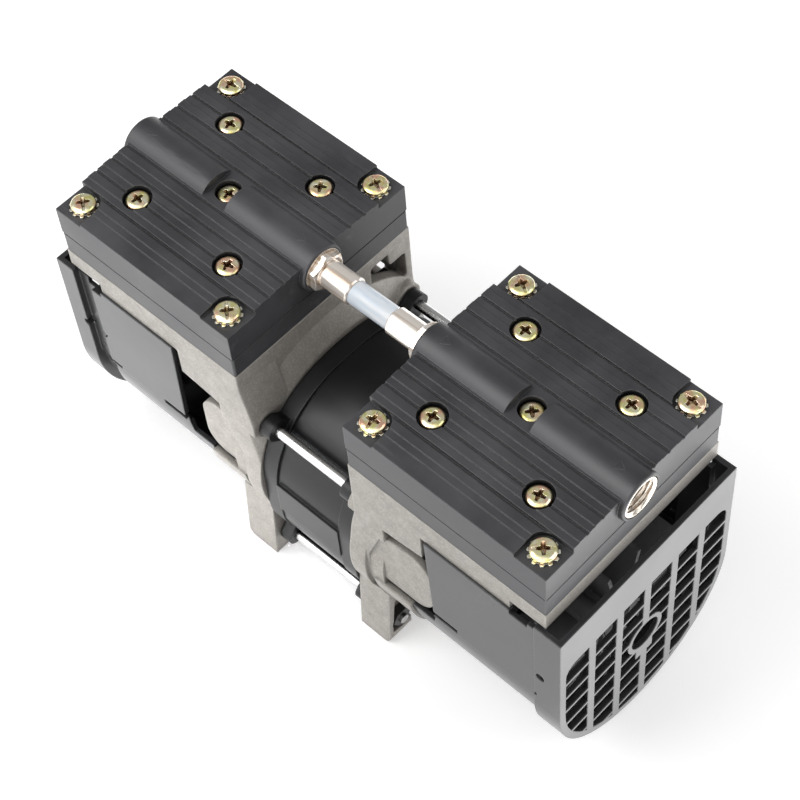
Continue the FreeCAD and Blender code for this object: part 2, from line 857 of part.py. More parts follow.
def make_set_screw():
    x0 = head_x - rod_bearing_wide / 2
    screw_x = x0 - sleeve_len / 2 - 0.5
    return rod_z(set_screw_r, shaft_z - journal_r, shaft_z - shaft_r - fit, screw_x)


def stack_low():
    """Top face of the rod's table at the right end, at the top of the stroke."""
    return membrane_z - 0.5 * membrane + throw


def make_rod():
    """Connecting rod casting: eye, waisted shank with a web, and the round table for the diaphragm."""
    x0, x1 = head_x - rod_wide / 2, head_x + rod_wide / 2
    eye_r = rod_bearing_r + eye_wall
    low = throw_z() + 0.6 * eye_r
    top = stack_low() - table_thick
    eye = rod_x(eye_r, x0, x1, 0, throw_z())
    shank = prism_x([(-shank_low_wide / 2, low), (shank_low_wide / 2, low),
                     (shank_top_wide / 2, top + 0.5), (-shank_top_wide / 2, top + 0.5)], x0, x1)
    flare = turned_z([(0, top - 5), (5, top - 5), (table_r - 5, top), (table_r - 5, top + 0.5),
                      (0, top + 0.5)], head_x)
    table = rod_z(table_r, top, top + table_thick, head_x)
    body = joined([eye, shank, flare, table])
    body = body.cut(rod_x(rod_bearing_r + fit, x0 - 1, x1 + 1, 0, throw_z()))
    for x in (x0 - 1, x1 - 2):
        web_low = low + shank_web_low
        web_top = top - shank_web_top
        groove = prism_x([(-shank_low_wide / 2 + 5, web_low), (shank_low_wide / 2 - 5, web_low),
                          (shank_top_wide / 2 - 3, web_top), (-shank_top_wide / 2 + 3, web_top)],
                         x, x + 3, 2.0)
        body = body.cut(groove)
    return body.cut(rod_z(clamp_screw_r + screw_play, top - clamp_screw_long - 1, top + 5, head_x))


def make_membrane_centre():
    z0 = stack_low()
    return rod_z(clamp_r - 1, z0, z0 + membrane, head_x).cut(
        rod_z(clamp_screw_r + screw_play, z0 - 1, z0 + 4, head_x))


def make_clamp():
    z0 = stack_low() + membrane
    disc = turned_z([(0, z0), (clamp_r - 0.8, z0), (clamp_r, z0 + 0.8), (clamp_r, z0 + clamp_thick - 1.0),
                     (clamp_r - 1.4, z0 + clamp_thick), (0, z0 + clamp_thick)], head_x)
    hole_r = clamp_screw_r + screw_play
    sink_r = clamp_head_r + screw_play
    head = turned_z([(0, z0 - 1), (hole_r, z0 - 1), (hole_r, z0 + 0.3), (sink_r, z0 + clamp_thick),
                     (sink_r, z0 + 5), (0, z0 + 5)], head_x)
    return disc.cut(head)


def make_clamp_screw():
    z0 = stack_low() + membrane
    top = z0 + clamp_thick
    tip = stack_low() - table_thick - clamp_screw_long
    return turned_z([(0, tip), (clamp_screw_r, tip), (clamp_screw_r, z0 + 0.35), (clamp_head_r, top),
                     (0, top)], head_x)


def make_diaphragm():
    """Rim and fold of the rubber diaphragm, clamped between the plate and the deck."""
    z0 = deck_top - membrane
    inner = clamp_r + throw + free
    fold_c = inner + 0.6 + fold_r
    fold_z = deck_top - membrane
    wire = outline([V(head_x + inner, 0, z0), V(head_x + fold_c - fold_r, 0, z0),
                    V(head_x + fold_c, 0, fold_z + fold_rise), V(head_x + fold_c + fold_r, 0, z0),
                    V(head_x + rim_r, 0, z0), V(head_x + rim_r, 0, deck_top),
                    V(head_x + fold_c + fold_r + 0.4, 0, deck_top),
                    V(head_x + fold_c, 0, deck_top + fold_rise),
                    V(head_x + fold_c - fold_r - 0.4, 0, deck_top), V(head_x + inner, 0, deck_top)])
    return Part.Face(wire).revolve(V(head_x, 0, 0), V(0, 0, 1), 360)


def make_fan():
    """Radial fan: back plate, hub and straight blades that face the grille."""
    x0 = fan_x
    plate = rod_x(fan_r, x0, x0 + fan_plate)
    hub = rod_x(fan_hub_r, x0 - fan_hub_back, x0 + fan_deep)
    blade = block(x0, x0 + fan_deep, blade_in_r - 6, fan_r - 0.5, -blade_thick / 2, blade_thick / 2)
    trim = prism_z([(x0 + fan_deep - 4, blade_in_r - 7), (x0 + fan_deep + 1, blade_in_r - 7),
                    (x0 + fan_deep + 1, blade_in_r + 5)], -2, 2)
    blade = blade.cut(trim)
    pieces = [plate, hub]
    for k in range(fan_blades):
        piece = blade.copy()
        piece.rotate(V(0, 0, 0), V(1, 0, 0), 360.0 * k / fan_blades)
        piece.translate(V(0, 0, shaft_z))
        pieces.append(piece)
    body = joined(pieces)
    return body.cut(rod_x(shaft_r + fit, x0 - fan_hub_back - 1, x0 + fan_deep + 1))


# Motor

def core_prism(step, arch, x0, x1):
    """Arched section of the motor, step larger all round than the lamination stack."""
    half = core_side + step
    rise = core_rise + step
    low, high = shaft_z - rise, shaft_z + rise
    corners = [(-half, low), (half, low), (half, high), (-half, high)]
    return prism_x(corners, x0, x1, [core_corner, core_corner, arch, arch])


def make_stator_core():
    """Lamination stack with an arched top and a rib along each side."""
    body = core_prism(0, core_arch, -core_half, core_half)
    ribs = []
    for side in (-1, 1):
        y0 = side * (core_side - 1)
        y1 = side * (core_side + core_rib)
        ribs.append(block(-core_half, core_half, min(y0, y1), max(y0, y1), rib_low, rib_top))
    body = joined([body] + ribs)
    return body.cut(rod_x(stator_bore_r, -core_half - 1, core_half + 1))


def make_winding():
    """Copper coil overhang at the right end of the stator."""
    x0 = core_half
    body = ring_x(winding_out_r, winding_in_r, x0, x0 + winding_long)
    rims = [e for e in body.Edges if e.BoundBox.XMin > x0 + winding_long - 0.01]
    return body.makeFillet(1.6, rims)


def make_winding_cap():
    """Black cap over the coil overhang, round in the bracket, square over the core, a lobe at each rod."""
    x0 = core_half
    x1 = web_x - 0.5
    brim_x = ring_face_x - free
    neck = rod_x(ring_bore_r - free, x0, x1)
    brim = core_prism(cap_step, core_arch - cap_shoulder, x0, brim_x)
    body = joined([neck, brim] + rod_lobes(lobe_wide, brim_x - lobe_long, brim_x))
    for y, z in rod_places():
        body = body.cut(rod_x(rod_r + screw_play, x0 - 1, x1 + 1, y, z))
    body = body.cut(rod_x(winding_out_r + free, x0 - 1, x1 - cap_wall))
    return body.cut(rod_x(winding_in_r, x1 - cap_wall - 1, x1 + 1))


def make_rotor_core():
    return ring_x(stator_bore_r - air_gap, shaft_r + fit, -core_half, core_half)


def make_end_ring():
    r = stator_bore_r - end_ring_in
    return ring_x(r, r - end_ring_wide, core_half, core_half + end_ring_thick)


def make_tie_rods():
    return [rod_x(rod_r, -rod_reach, rod_reach, y, z) for y, z in rod_places()]


def make_tie_nuts():
    nuts = []
    for y, z in rod_places():
        points = []
        for i in range(6):
            a = math.radians(60 * i)
            r = nut_flats / math.sqrt(3)
            points.append((y + r * math.cos(a), z + r * math.sin(a)))
        back = nut_seat_x + nut_thick
        nut = prism_x(points, nut_seat_x, back)
        nuts.append(nut.cut(rod_x(rod_r + fit, nut_seat_x - 1, back + 1, y, z)))
    return nuts


# Shroud and grille

def u_outline(half, top, r, shelf):
    """U shape open at the top: straight sides to the shelf and a round of radius r below."""
    side = math.sqrt(max(r * r - (shaft_z - shelf) ** 2, 0.0))
    a = V(0, -half, top)
    b = V(0, -half, shelf)
    c = V(0, -side, shelf)
    bottom = V(0, 0, shaft_z - r)
    edges = [Part.LineSegment(a, b).toShape()]
    if half - side > 1e-3:
        edges.append(Part.LineSegment(b, c).toShape())
    edges.append(Part.Arc(c, bottom, V(0, side, shelf)).toShape())
    if half - side > 1e-3:
        edges.append(Part.LineSegment(V(0, side, shelf), V(0, half, shelf)).toShape())
    edges.append(Part.LineSegment(V(0, half, shelf), V(0, half, top)).toShape())
    edges.append(Part.LineSegment(V(0, half, top), a).toShape())
    return Part.Face(Part.Wire(edges))


def u_prism(half, top, r, shelf, x0, x1):
    face = u_outline(half, top, r, shelf)
    face.translate(V(x0, 0, 0))
    return face.extrude(V(x1 - x0, 0, 0))


def make_shroud():
    """Open duct round the fan: two side panels over a round tray."""
    front = shroud_front_low_x
    outer = u_prism(shroud_half, shroud_top, shroud_low_r, shroud_shelf, front, shroud_tail_a)
    inner = u_prism(shroud_half - shroud_wall, shroud_top + 1, shroud_low_r - shroud_wall,
                    shroud_shelf - shroud_wall, front - 1, shroud_tail_a + 1)
    body = outer.cut(inner)
    nose = prism_y([(front - 1, shroud_shelf - 7), (shroud_front_x + 0.3, shroud_shelf - 7),
                    (shroud_front_x + shroud_slant, shroud_shelf), (shroud_front_x, shroud_top + 1),
                    (front - 1, shroud_top + 1)], -shroud_half - 1, shroud_half + 1)
    body = body.cut(nose)
    gap_b = block(shroud_tail_b, shroud_tail_a + 1, 0, shroud_half + 1, band_low, shroud_top + 1)
    body = body.cut(gap_b)
    slot_x = shroud_front_x + shroud_slant
    slot = block(slot_x - 2, slot_x + slot_long, -shroud_half - 1, shroud_half + 1,
                 shroud_shelf + slot_up, shroud_shelf + slot_up + slot_high)
    body = body.cut(slot)
    slit = block(shroud_tail_b - slit_long, shroud_tail_b + 1, 0, shroud_half + 1,
                 shroud_shelf + slot_up, shroud_shelf + slot_up + slit_high)
    catch = rod_y(catch_r, shroud_half - catch_deep, shroud_half + 1, shroud_tail_b, catch_z)
    body = body.cut(slit).cut(catch)
    notch = block(lip_end_x + free, lip_end_x + free + notch_long, -shroud_half - 1, shroud_half + 1,
                  shroud_top - notch_deep, shroud_top + 1)
    body = body.cut(notch)
    return joined([body, shroud_spigot()] + both_sides(shroud_hanger()))


def shroud_spigot():
    """Stepped ring at the inner end of the tray that fits inside the bracket's lower shell."""
    front = shroud_front_low_x
    r = shell_r - shell_wall - fit
    inner = r - spigot_wall
    ring = turned_x([(front - spigot, inner), (front - spigot, r), (front, r), (front, shroud_low_r),
                     (front + 2, shroud_low_r), (front + 2, inner)])
    keep = block(front - spigot - 1, front + 3, -ring_r, ring_r, 0, shell_top - free)
    return ring.common(keep)


def shroud_hanger():
    """Tab at the top of a side panel that hooks up behind the lip of the deck."""
    behind = side_y - lip_thick - fit
    low = shroud_top - hanger_drop
    top = deck_bottom - fit
    shelf = shroud_top - free
    root = shroud_half - 0.5
    return prism_x([(behind - spigot_wall, low), (root, low), (root, shelf), (behind, shelf), (behind, top),
                    (behind - spigot_wall, top)], hanger_x0, hanger_x1)


def grille_opening():
    """Openings of the grille between the bars and ribs, inside the rim of the cap."""
    x0, x1 = cap_face_x - cap_thick - 1, cap_face_x + 1
    half = cap_half - grille_rim
    inside = u_prism(half, grille_top, half, shaft_z, x0, x1)
    top = [e for e in inside.Edges if e.BoundBox.ZMin > grille_top - 0.01 and e.BoundBox.YLength < 0.01]
    inside = inside.makeFillet(grille_round, top)
    bars = []
    for k in range(bar_count):
        y = (k - 0.5 * (bar_count - 1)) * bar_pitch
        bars.append(block(x0, x1, y - bar_wide / 2, y + bar_wide / 2, 0, grille_top))
    z = rib_first
    while z > shaft_z - half:
        bars.append(block(x0, x1, -cap_half, cap_half, z - rib_high / 2, z + rib_high / 2))
        z -= rib_pitch
    bars.append(rod_x(grille_hub_r, x0, x1))
    bars.append(block(x0, x1, -grille_ear, grille_ear, shaft_z - grille_hub_r - grille_ear, shaft_z))
    return inside.cut(Part.makeCompound(bars))


def cap_spigot(lip):
    """Inner skirt by which the cap sits inside the end of the shroud, and the collar at its lip."""
    half = shroud_half - shroud_wall - fit
    r = shroud_low_r - shroud_wall - fit
    shelf = shroud_shelf - shroud_wall
    x0 = shroud_tail_b - cap_skirt_in
    x1 = lip + spigot_wall
    skirt = u_prism(half, shroud_top, r, shelf, x0, x1)
    collar = u_prism(cap_half - 0.5 * cap_thick, shroud_top, cap_half - 0.5 * cap_thick, shaft_z, lip, x1)
    room = u_prism(half - spigot_wall, cap_top, r - spigot_wall, shelf, x0 - 1, x1 + 1)
    notch = block(x0 - 1, lip_end_x + free + notch_long + 1, -cap_half, cap_half,
                  shroud_top - notch_deep - 1, cap_top)
    return skirt.fuse(collar).cut(room).cut(notch)


def make_grille_cap():
    """Cap over the open end of the shroud, with the grille in its face and one side of its lip set back."""
    inner_half = cap_half - cap_thick
    outer = u_prism(cap_half, cap_top, cap_half, shaft_z, cap_lip_a, cap_face_x)
    inner = u_prism(inner_half, cap_top + 1, inner_half, shaft_z, cap_lip_a - 1, cap_face_x - cap_thick)
    set_back = block(cap_lip_a - overrun, cap_face_x - cap_thick, 0, cap_half + 1, band_low, cap_top + 1)
    lip_cut = block(cap_lip_a - overrun, cap_lip_b, 0, cap_half + 1, band_low, cap_top + 1)
    shell = outer.cut(inner).cut(lip_cut)
    body = joined([shell, cap_spigot(cap_lip_a).cut(set_back), cap_spigot(cap_lip_b).common(set_back)])
    body = body.cut(grille_opening())
    body = body.cut(rod_x(grille_hub_bore_r, cap_face_x - 4, cap_face_x + 1))
    for side in (-1, 1):
        y0 = min(side * (cap_half - catch_deep), side * (cap_half + 1))
        body = body.cut(rod_y(catch_r, y0, y0 + catch_deep + 1, catch_x, catch_z))
        body = body.cut(rod_y(pin_hole_r, y0, y0 + catch_deep + 1, pin_hole_x, pin_hole_z))
    return body


def main():
    os.makedirs("parts", exist_ok=True)
    bracket = make_bracket()
    save("right_bracket", [bracket])
    save("left_bracket", [turned_round(bracket)])
    shift = -2 * head_x
    cover = make_cover()
    plate = make_plate()
    gasket = make_gasket()
    diaphragm = make_diaphragm()
    for name, piece in (("head_cover", cover), ("valve_plate", plate), ("head_gasket", gasket),
                        ("diaphragm", diaphragm)):
        save("right_" + name, [piece])
        save("left_" + name, [moved(piece, shift)])
    reeds = make_reeds()
    save("valve_reeds", reeds + [moved(reed, shift) for reed in reeds])
    for name, pieces in (("corner_screws", corner_screws()), ("lock_washers", corner_washers()),
                         ("cover_screws", inner_screws())):
        save(name, pieces + [moved(piece, shift) for piece in pieces])
    save("outlet_port_insert", [make_insert(1)])
    save("inlet_port_insert", [moved(make_insert(-1), shift)])
    save("link_port_inserts", [make_insert(-1), moved(make_insert(1), shift)])
    fitting = make_fitting()
    sleeve = make_sleeve()
    save("right_tube_fitting", [fitting])
    save("left_tube_fitting", [turned_round(fitting)])
    save("right_sleeve_nut", [sleeve])
    save("left_sleeve_nut", [turned_round(sleeve)])
    save("link_tube", [make_tube()])

    save("motor_shaft", [make_shaft()])
    save("rotor_core", [make_rotor_core()])
    end_ring = make_end_ring()
    save("rotor_end_rings", [end_ring, turned_round(end_ring)])
    main_outer = bearing_outer(main_outer_r, main_ring, main_inner_r, main_x, main_wide, shaft_z)
    main_inner = ring_x(main_inner_r, shaft_r + fit, main_x, main_x + main_wide)
    save("main_bearing_outer_races", [main_outer, turned_round(main_outer)])
    save("main_bearing_inner_races", [main_inner, turned_round(main_inner)])
    rod_x0 = head_x - rod_bearing_wide / 2
    rod_outer = bearing_outer(rod_bearing_r, rod_bearing_ring, rod_bearing_inner_r, rod_x0,
                              rod_bearing_wide, throw_z())
    rod_inner = ring_x(rod_bearing_inner_r, journal_r + fit, rod_x0, rod_x0 + rod_bearing_wide, 0, throw_z())
    down = -2 * throw
    mirror_x = V(1, 0, 0)
    for name, piece in (("connecting_rod", make_rod()), ("rod_bearing_outer", rod_outer),
                        ("diaphragm_centre", make_membrane_centre()), ("clamp_disc", make_clamp()),
                        ("clamp_screw", make_clamp_screw())):
        save("right_" + name, [piece])
        save("left_" + name, [moved(piece.mirror(V(0, 0, 0), mirror_x), 0, 0, down)])
    save("rod_bearing_inner_races", [rod_inner, moved(rod_inner.mirror(V(0, 0, 0), mirror_x), 0, 0, down)])
    eccentric = make_eccentric()
    set_screw = make_set_screw()
    left_eccentric = eccentric.copy()
    left_set_screw = set_screw.copy()
    for piece in (left_eccentric, left_set_screw):
        piece.rotate(V(0, 0, shaft_z), V(0, 1, 0), 180)
    save("right_eccentric", [eccentric])
    save("left_eccentric", [left_eccentric])
    save("eccentric_set_screws", [set_screw, left_set_screw])
    fan = make_fan()
    save("right_fan", [fan])
    save("left_fan", [turned_round(fan)])

    save("stator_core", [make_stator_core()])
    winding = make_winding()
    cap = make_winding_cap()
    save("right_winding", [winding])
    save("left_winding", [turned_round(winding)])
    save("right_winding_cap", [cap])
    save("left_winding_cap", [turned_round(cap)])
    save("tie_rods", make_tie_rods())
    nuts = make_tie_nuts()
    save("tie_rod_nuts", nuts + [turned_round(nut) for nut in nuts])

    shroud = make_shroud()
    grille = make_grille_cap()
    save("right_fan_shroud", [shroud])
    save("left_fan_shroud", [turned_round(shroud)])
    save("right_grille_cap", [grille])
    save("left_grille_cap", [turned_round(grille)])


main()
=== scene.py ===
"""Dress a diaphragm vacuum pump: finishes, screws, threads, marks, light and camera."""
import json
import logging
import math
import random
from dataclasses import dataclass, field, replace
from enum import Enum, StrEnum, auto
from typing import Iterable, Sequence

import bmesh
import bpy
from bmesh.types import BMesh, BMVert
from bpy.types import ID, Material, Node, NodeSocket as Socket, NodeTree, Object
from mathutils import Matrix, Vector


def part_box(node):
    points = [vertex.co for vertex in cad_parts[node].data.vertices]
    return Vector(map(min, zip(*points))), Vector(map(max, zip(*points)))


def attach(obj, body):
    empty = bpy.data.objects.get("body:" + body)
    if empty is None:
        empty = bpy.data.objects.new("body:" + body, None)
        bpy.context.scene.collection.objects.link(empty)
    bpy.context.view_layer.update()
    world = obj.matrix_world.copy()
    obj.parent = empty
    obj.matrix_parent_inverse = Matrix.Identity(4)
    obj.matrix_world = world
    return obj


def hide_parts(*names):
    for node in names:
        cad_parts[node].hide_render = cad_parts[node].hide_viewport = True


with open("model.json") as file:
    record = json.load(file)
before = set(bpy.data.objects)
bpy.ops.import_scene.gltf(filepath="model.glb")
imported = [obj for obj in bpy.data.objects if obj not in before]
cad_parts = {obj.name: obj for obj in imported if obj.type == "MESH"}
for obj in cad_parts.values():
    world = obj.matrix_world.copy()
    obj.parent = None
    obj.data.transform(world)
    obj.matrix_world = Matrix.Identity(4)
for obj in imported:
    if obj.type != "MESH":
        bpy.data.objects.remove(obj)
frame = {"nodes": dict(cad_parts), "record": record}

MM = 0.001
LOG = logging.getLogger("pump")
Colour = tuple[float, float, float]
Point = tuple[float, float]
Place = tuple[float, float, float]
Rows = list[list[BMVert]]
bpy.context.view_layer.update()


class Op(Enum):
    """Operation of a Math node."""

    ADD = "ADD"
    SUBTRACT = "SUBTRACT"
    MULTIPLY = "MULTIPLY"
    MAXIMUM = "MAXIMUM"
    ABSOLUTE = "ABSOLUTE"
    SINE = "SINE"


class Slot(StrEnum):
    """Material slot of the record, spelled there in small letters."""

    DIE_CAST = auto()
    HEAD_PLASTIC = auto()
    GASKET_RUBBER = auto()
    SHROUD_PLASTIC = auto()
    YELLOW_ZINC = auto()
    WASHER_ZINC = auto()
    NICKEL = auto()
    INSERT_BRASS = auto()
    CLEAR_TUBE = auto()
    BRIGHT_STEEL = auto()
    CORE_LACQUER = auto()
    COIL_COVER = auto()
    COPPER_WIRE = auto()
    ROTOR_STEEL = auto()
    CAST_ALLOY = auto()
    BEARING_STEEL = auto()
    DIAPHRAGM_RUBBER = auto()
    TURNED_ALLOY = auto()
    GREY_IRON = auto()
    FAN_PLASTIC = auto()
    REED_STEEL = auto()


@dataclass(frozen=True)
class Ramp:
    """Range of a value, and the range that it is mapped to."""

    low: float
    high: float
    out_low: float = 0.0
    out_high: float = 1.0


def grey(level: float) -> Colour:
    """Give a colour with three equal numbers."""
    return (level, level, level)


def colour4(colour: Colour) -> tuple[float, float, float, float]:
    """Give a colour its fourth number."""
    return (*colour, 1.0)


class Graph:
    """Short calls for building one node tree."""

    columns = 8
    column_wide = 220
    row_high = 260

    def __init__(self, tree: NodeTree) -> None:
        """Start on an empty tree.

        Args:
            tree: the node tree of a material, a world or a group.
        """
        self.tree = tree
        self.tree.nodes.clear()
        self._count = 0

    def node(self, kind: str, **settings: object) -> Node:
        """Add a node.

        Args:
            kind: Blender's type name of the node.
            settings: properties to set on it.

        Returns:
            The new node.
        """
        made = self.tree.nodes.new(kind)
        row, column = divmod(self._count, self.columns)
        made.location = (self.column_wide * column, -self.row_high * row)
        self._count += 1
        for name, value in settings.items():
            setattr(made, name, value)
        return made

    def link(self, source: Socket, target: Socket) -> None:
        """Join two sockets."""
        self.tree.links.new(source, target)

    def feed(self, target: Socket, value: object) -> None:
        """Give a socket a link or a plain value.

        Args:
            target: the socket to feed.
            value: another node's socket, or a number, colour or vector.
        """
        if isinstance(value, Socket):
            self.link(value, target)
        else:
            target.default_value = value

    def math(self, operation: Op, first: object, second: object = 0.0, clamp: bool = False) -> Socket:
        """Add a Math node.

        Args:
            operation: what it works out.
            first: first number or socket.
            second: second number or socket.
            clamp: keep the result between 0 and 1.

        Returns:
            The result's socket.
        """
        made = self.node("ShaderNodeMath", operation=operation.value, use_clamp=clamp)
        self.feed(made.inputs[0], first)
        self.feed(made.inputs[1], second)
        return made.outputs[0]

    def dot(self, first: object, second: object) -> Socket:
        """Multiply two vectors into a number.

        Args:
            first: first vector or socket.
            second: second vector or socket.

        Returns:
            The number's socket.
        """
        made = self.node("ShaderNodeVectorMath", operation="DOT_PRODUCT")
        self.feed(made.inputs[0], first)
        self.feed(made.inputs[1], second)
        return made.outputs["Value"]

    def mix(self, factor: object, first: object, second: object) -> Socket:
        """Mix two colours.

        Args:
            factor: how much of the second colour shows.
            first: colour or socket.
            second: colour or socket.

        Returns:
            The mixed colour's socket.
        """
        made = self.node("ShaderNodeMix", data_type="RGBA")
        self.feed(made.inputs[0], factor)
        self.feed(made.inputs[6], first)
        self.feed(made.inputs[7], second)
        return made.outputs[2]

    def span(self, value: Socket, ramp: Ramp) -> Socket:
        """Map a value from one range to another, kept inside it.

        Args:
            value: the socket to map.
            ramp: the two ranges.

        Returns:
            The mapped value's socket.
        """
        made = self.node("ShaderNodeMapRange", clamp=True)
        self.link(value, made.inputs[0])
        for index, number in enumerate((ramp.low, ramp.high, ramp.out_low, ramp.out_high), start=1):
            made.inputs[index].default_value = number
        return made.outputs[0]

    def noise(self, vector: Socket, scale: object, detail: float = 3.0, rough: float = 0.5) -> Socket:
        """Add a Noise texture.

        Args:
            vector: where it is read.
            scale: its scale, a number or socket.
            detail: how many finer layers it has.
            rough: how strong they are.

        Returns:
            The noise value's socket.
        """
        made = self.node("ShaderNodeTexNoise")
        self.link(vector, made.inputs["Vector"])
        self.feed(made.inputs["Scale"], scale)
        made.inputs["Detail"].default_value = detail
        made.inputs["Roughness"].default_value = rough
        return made.outputs[0]

    def place(self) -> Socket:
        """Read places in the object's own metres."""
        return self.node("ShaderNodeTexCoord").outputs["Object"]

    def along(self) -> Socket:
        """Read places along X only."""
        made = self.node("ShaderNodeSeparateXYZ")
        self.link(self.place(), made.inputs[0])
        return made.outputs[0]

    def drawn(self, factor: float) -> Socket:
        """Read places with X scaled, so that a texture is drawn out along it.

        Args:
            factor: the scale along X.

        Returns:
            The scaled places' socket.
        """
        made = self.node("ShaderNodeMapping")
        self.link(self.place(), made.inputs["Vector"])
        made.inputs["Scale"].default_value = (factor, 1.0, 1.0)
        return made.outputs[0]

    def seen(self, path: Node) -> Socket:
        """Tell rays that the camera sends, also through the clear tube, from the rest.

        Args:
            path: a Light Path node.

        Returns:
            1 for such a ray, else 0.
        """
        return self.math(Op.MAXIMUM, path.outputs["Is Camera Ray"], path.outputs["Is Transmission Ray"])

    def bevel(self) -> Node:
        """Add a Bevel node, with its radius free."""
        return self.node("ShaderNodeBevel", samples=4)

    def bump(self, height: Socket, strength: float, distance: float) -> Node:
        """Add a Bump node.

        Args:
            height: the height's socket.
            strength: how strong it is.
            distance: how high it stands, in metres.

        Returns:
            The node, with its Normal input free.
        """
        made = self.node("ShaderNodeBump")
        made.inputs["Strength"].default_value = strength
        made.inputs["Distance"].default_value = distance
        self.link(height, made.inputs["Height"])
        return made


@dataclass(frozen=True)
class Effect:
    """Node group that the finishes share, built at its first use."""

    name: str

    def draw(self, graph: Graph, size: Socket, amount: Socket) -> Socket:
        """Draw the effect inside its group.

        Args:
            graph: the group's graph.
            size: the group's first input, a scale or a reach.
            amount: its second input.

        Returns:
            The effect's result.
        """
        raise NotImplementedError

    def tree(self) -> NodeTree:
        """Find the group, or build it.

        Returns:
            The group, with two inputs and one output.
        """
        found = bpy.data.node_groups.get(self.name)
        if found:
            return found
        tree = bpy.data.node_groups.new(self.name, "ShaderNodeTree")
        for label in ("Size", "Amount"):
            tree.interface.new_socket(label, in_out="INPUT", socket_type="NodeSocketFloat")
        tree.interface.new_socket("Result", in_out="OUTPUT", socket_type="NodeSocketFloat")
        graph = Graph(tree)
        enter = graph.node("NodeGroupInput")
        leave = graph.node("NodeGroupOutput")
        graph.link(self.draw(graph, enter.outputs[0], enter.outputs[1]), leave.inputs[0])
        return tree

    def place(self, graph: Graph, size: float, amount: float) -> Socket:
        """Place the effect in a material.

        Args:
            graph: the material's graph.
            size: scale or reach of the effect.
            amount: how much of it there is.

        Returns:
            The effect's result.
        """
        group = graph.node("ShaderNodeGroup", node_tree=self.tree())
        group.inputs[0].default_value = size
        group.inputs[1].default_value = amount
        return group.outputs[0]


@dataclass(frozen=True)
class EdgeMask(Effect):
    """Outward edges, lightened partly as wear and partly as a painted highlight."""

    bend: Ramp = Ramp(0.995, 0.80)
    breaks: Ramp = Ramp(0.35, 0.65, 0.35, 1.0)
    breaks_scale: float = 900.0

    def draw(self, graph: Graph, size: Socket, amount: Socket) -> Socket:
        """Mask the edges by radius and strength, as in Effect."""
        # the edge mask carries wear and a painted highlight along the edges
        rounded = graph.bevel()
        graph.link(size, rounded.inputs["Radius"])
        plain = graph.node("ShaderNodeNewGeometry").outputs["Normal"]
        bent = graph.span(graph.dot(rounded.outputs[0], plain), self.bend)
        broken = graph.span(graph.noise(graph.place(), self.breaks_scale), self.breaks)
        return graph.math(Op.MULTIPLY, graph.math(Op.MULTIPLY, bent, broken), amount, clamp=True)


@dataclass(frozen=True)
class CloudMask(Effect):
    """Soft clouds, as of handling marks and uneven colour."""

    middle: float = 0.5

    def draw(self, graph: Graph, size: Socket, amount: Socket) -> Socket:
        """Mask clouds by scale and contrast, as in Effect."""
        broad = graph.noise(graph.place(), size, detail=4.0, rough=0.6)
        spread = graph.math(Op.MULTIPLY, graph.math(Op.SUBTRACT, broad, self.middle), amount)
        return graph.math(Op.ADD, spread, self.middle, clamp=True)


@dataclass(frozen=True)
class GrainHeight(Effect):
    """Fine even grain, as of a spark-eroded mould or a blasted casting."""

    wider: float = 0.18

    def draw(self, graph: Graph, size: Socket, amount: Socket) -> Socket:
        """Raise grain by scale and share of wider grain, as in Effect."""
        place = graph.place()
        fine = graph.noise(place, size, detail=2.0, rough=0.6)
        wide = graph.noise(place, graph.math(Op.MULTIPLY, size, self.wider))
        return graph.math(Op.ADD, fine, graph.math(Op.MULTIPLY, wide, amount))


@dataclass(frozen=True)
class HollowShadeMask(Effect):
    """Grooves, recesses and inside corners, where the colour is darkened as painted shade."""

    shaded: Ramp = Ramp(0.30, 0.85, 1.0, 0.0)

    def draw(self, graph: Graph, size: Socket, amount: Socket) -> Socket:
        """Mask the painted shade in recesses by reach and strength, as in Effect."""
        # ambient occlusion picks out the recesses that get painted shade
        open_sky = graph.node("ShaderNodeAmbientOcclusion", samples=6)
        graph.link(size, open_sky.inputs["Distance"])
        return graph.math(Op.MULTIPLY, graph.span(open_sky.outputs["AO"], self.shaded), amount, clamp=True)


@dataclass(frozen=True)
class ScatterMask(Effect):
    """Scattered small marks, drawn out along X where a factor is given."""

    part: Ramp
    detail: float
    drawn: float | None = None

    def draw(self, graph: Graph, size: Socket, amount: Socket) -> Socket:
        """Mask the marks by scale and amount, as in Effect."""
        where = graph.drawn(self.drawn) if self.drawn else graph.place()
        marks = graph.noise(where, size, self.detail, rough=0.7)
        return graph.math(Op.MULTIPLY, graph.span(marks, self.part), amount, clamp=True)


EDGES = EdgeMask("Edge wear and highlight")
CLOUDS = CloudMask("Blotches")
GRAIN = GrainHeight("Grain")
HOLLOW_SHADE = HollowShadeMask("Hollow shade")
RUBS = ScatterMask("Rubs", Ramp(0.60, 0.74), detail=5.0, drawn=0.12)
SPECKS = ScatterMask("Speckle", Ramp(0.52, 0.66), detail=2.0)


@dataclass(frozen=True)
class Clouds:
    """Soft clouds of a second colour."""

    scale: float = 60.0
    contrast: float = 1.6


@dataclass(frozen=True)
class Grain:
    """Fine relief."""

    scale: float = 2500.0
    coarse: float = 0.4
    height: float = 0.00002
    strength: float = 0.3


@dataclass(frozen=True)
class Lines:
    """Lines between thin sheets or turned rings that lie across X."""

    pitch: float
    depth: float
    groove: Ramp = Ramp(-1.0, -0.5)

    def over(self, graph: Graph, height: Socket) -> Socket:
        """Add the lines to a height.

        Args:
            graph: the material's graph.
            height: the height so far.

        Returns:
            The height with the lines.
        """
        turns = graph.math(Op.MULTIPLY, graph.along(), math.tau / self.pitch)
        wave = graph.span(graph.math(Op.SINE, turns), self.groove)
        return graph.math(Op.ADD, height, graph.math(Op.MULTIPLY, wave, self.depth))


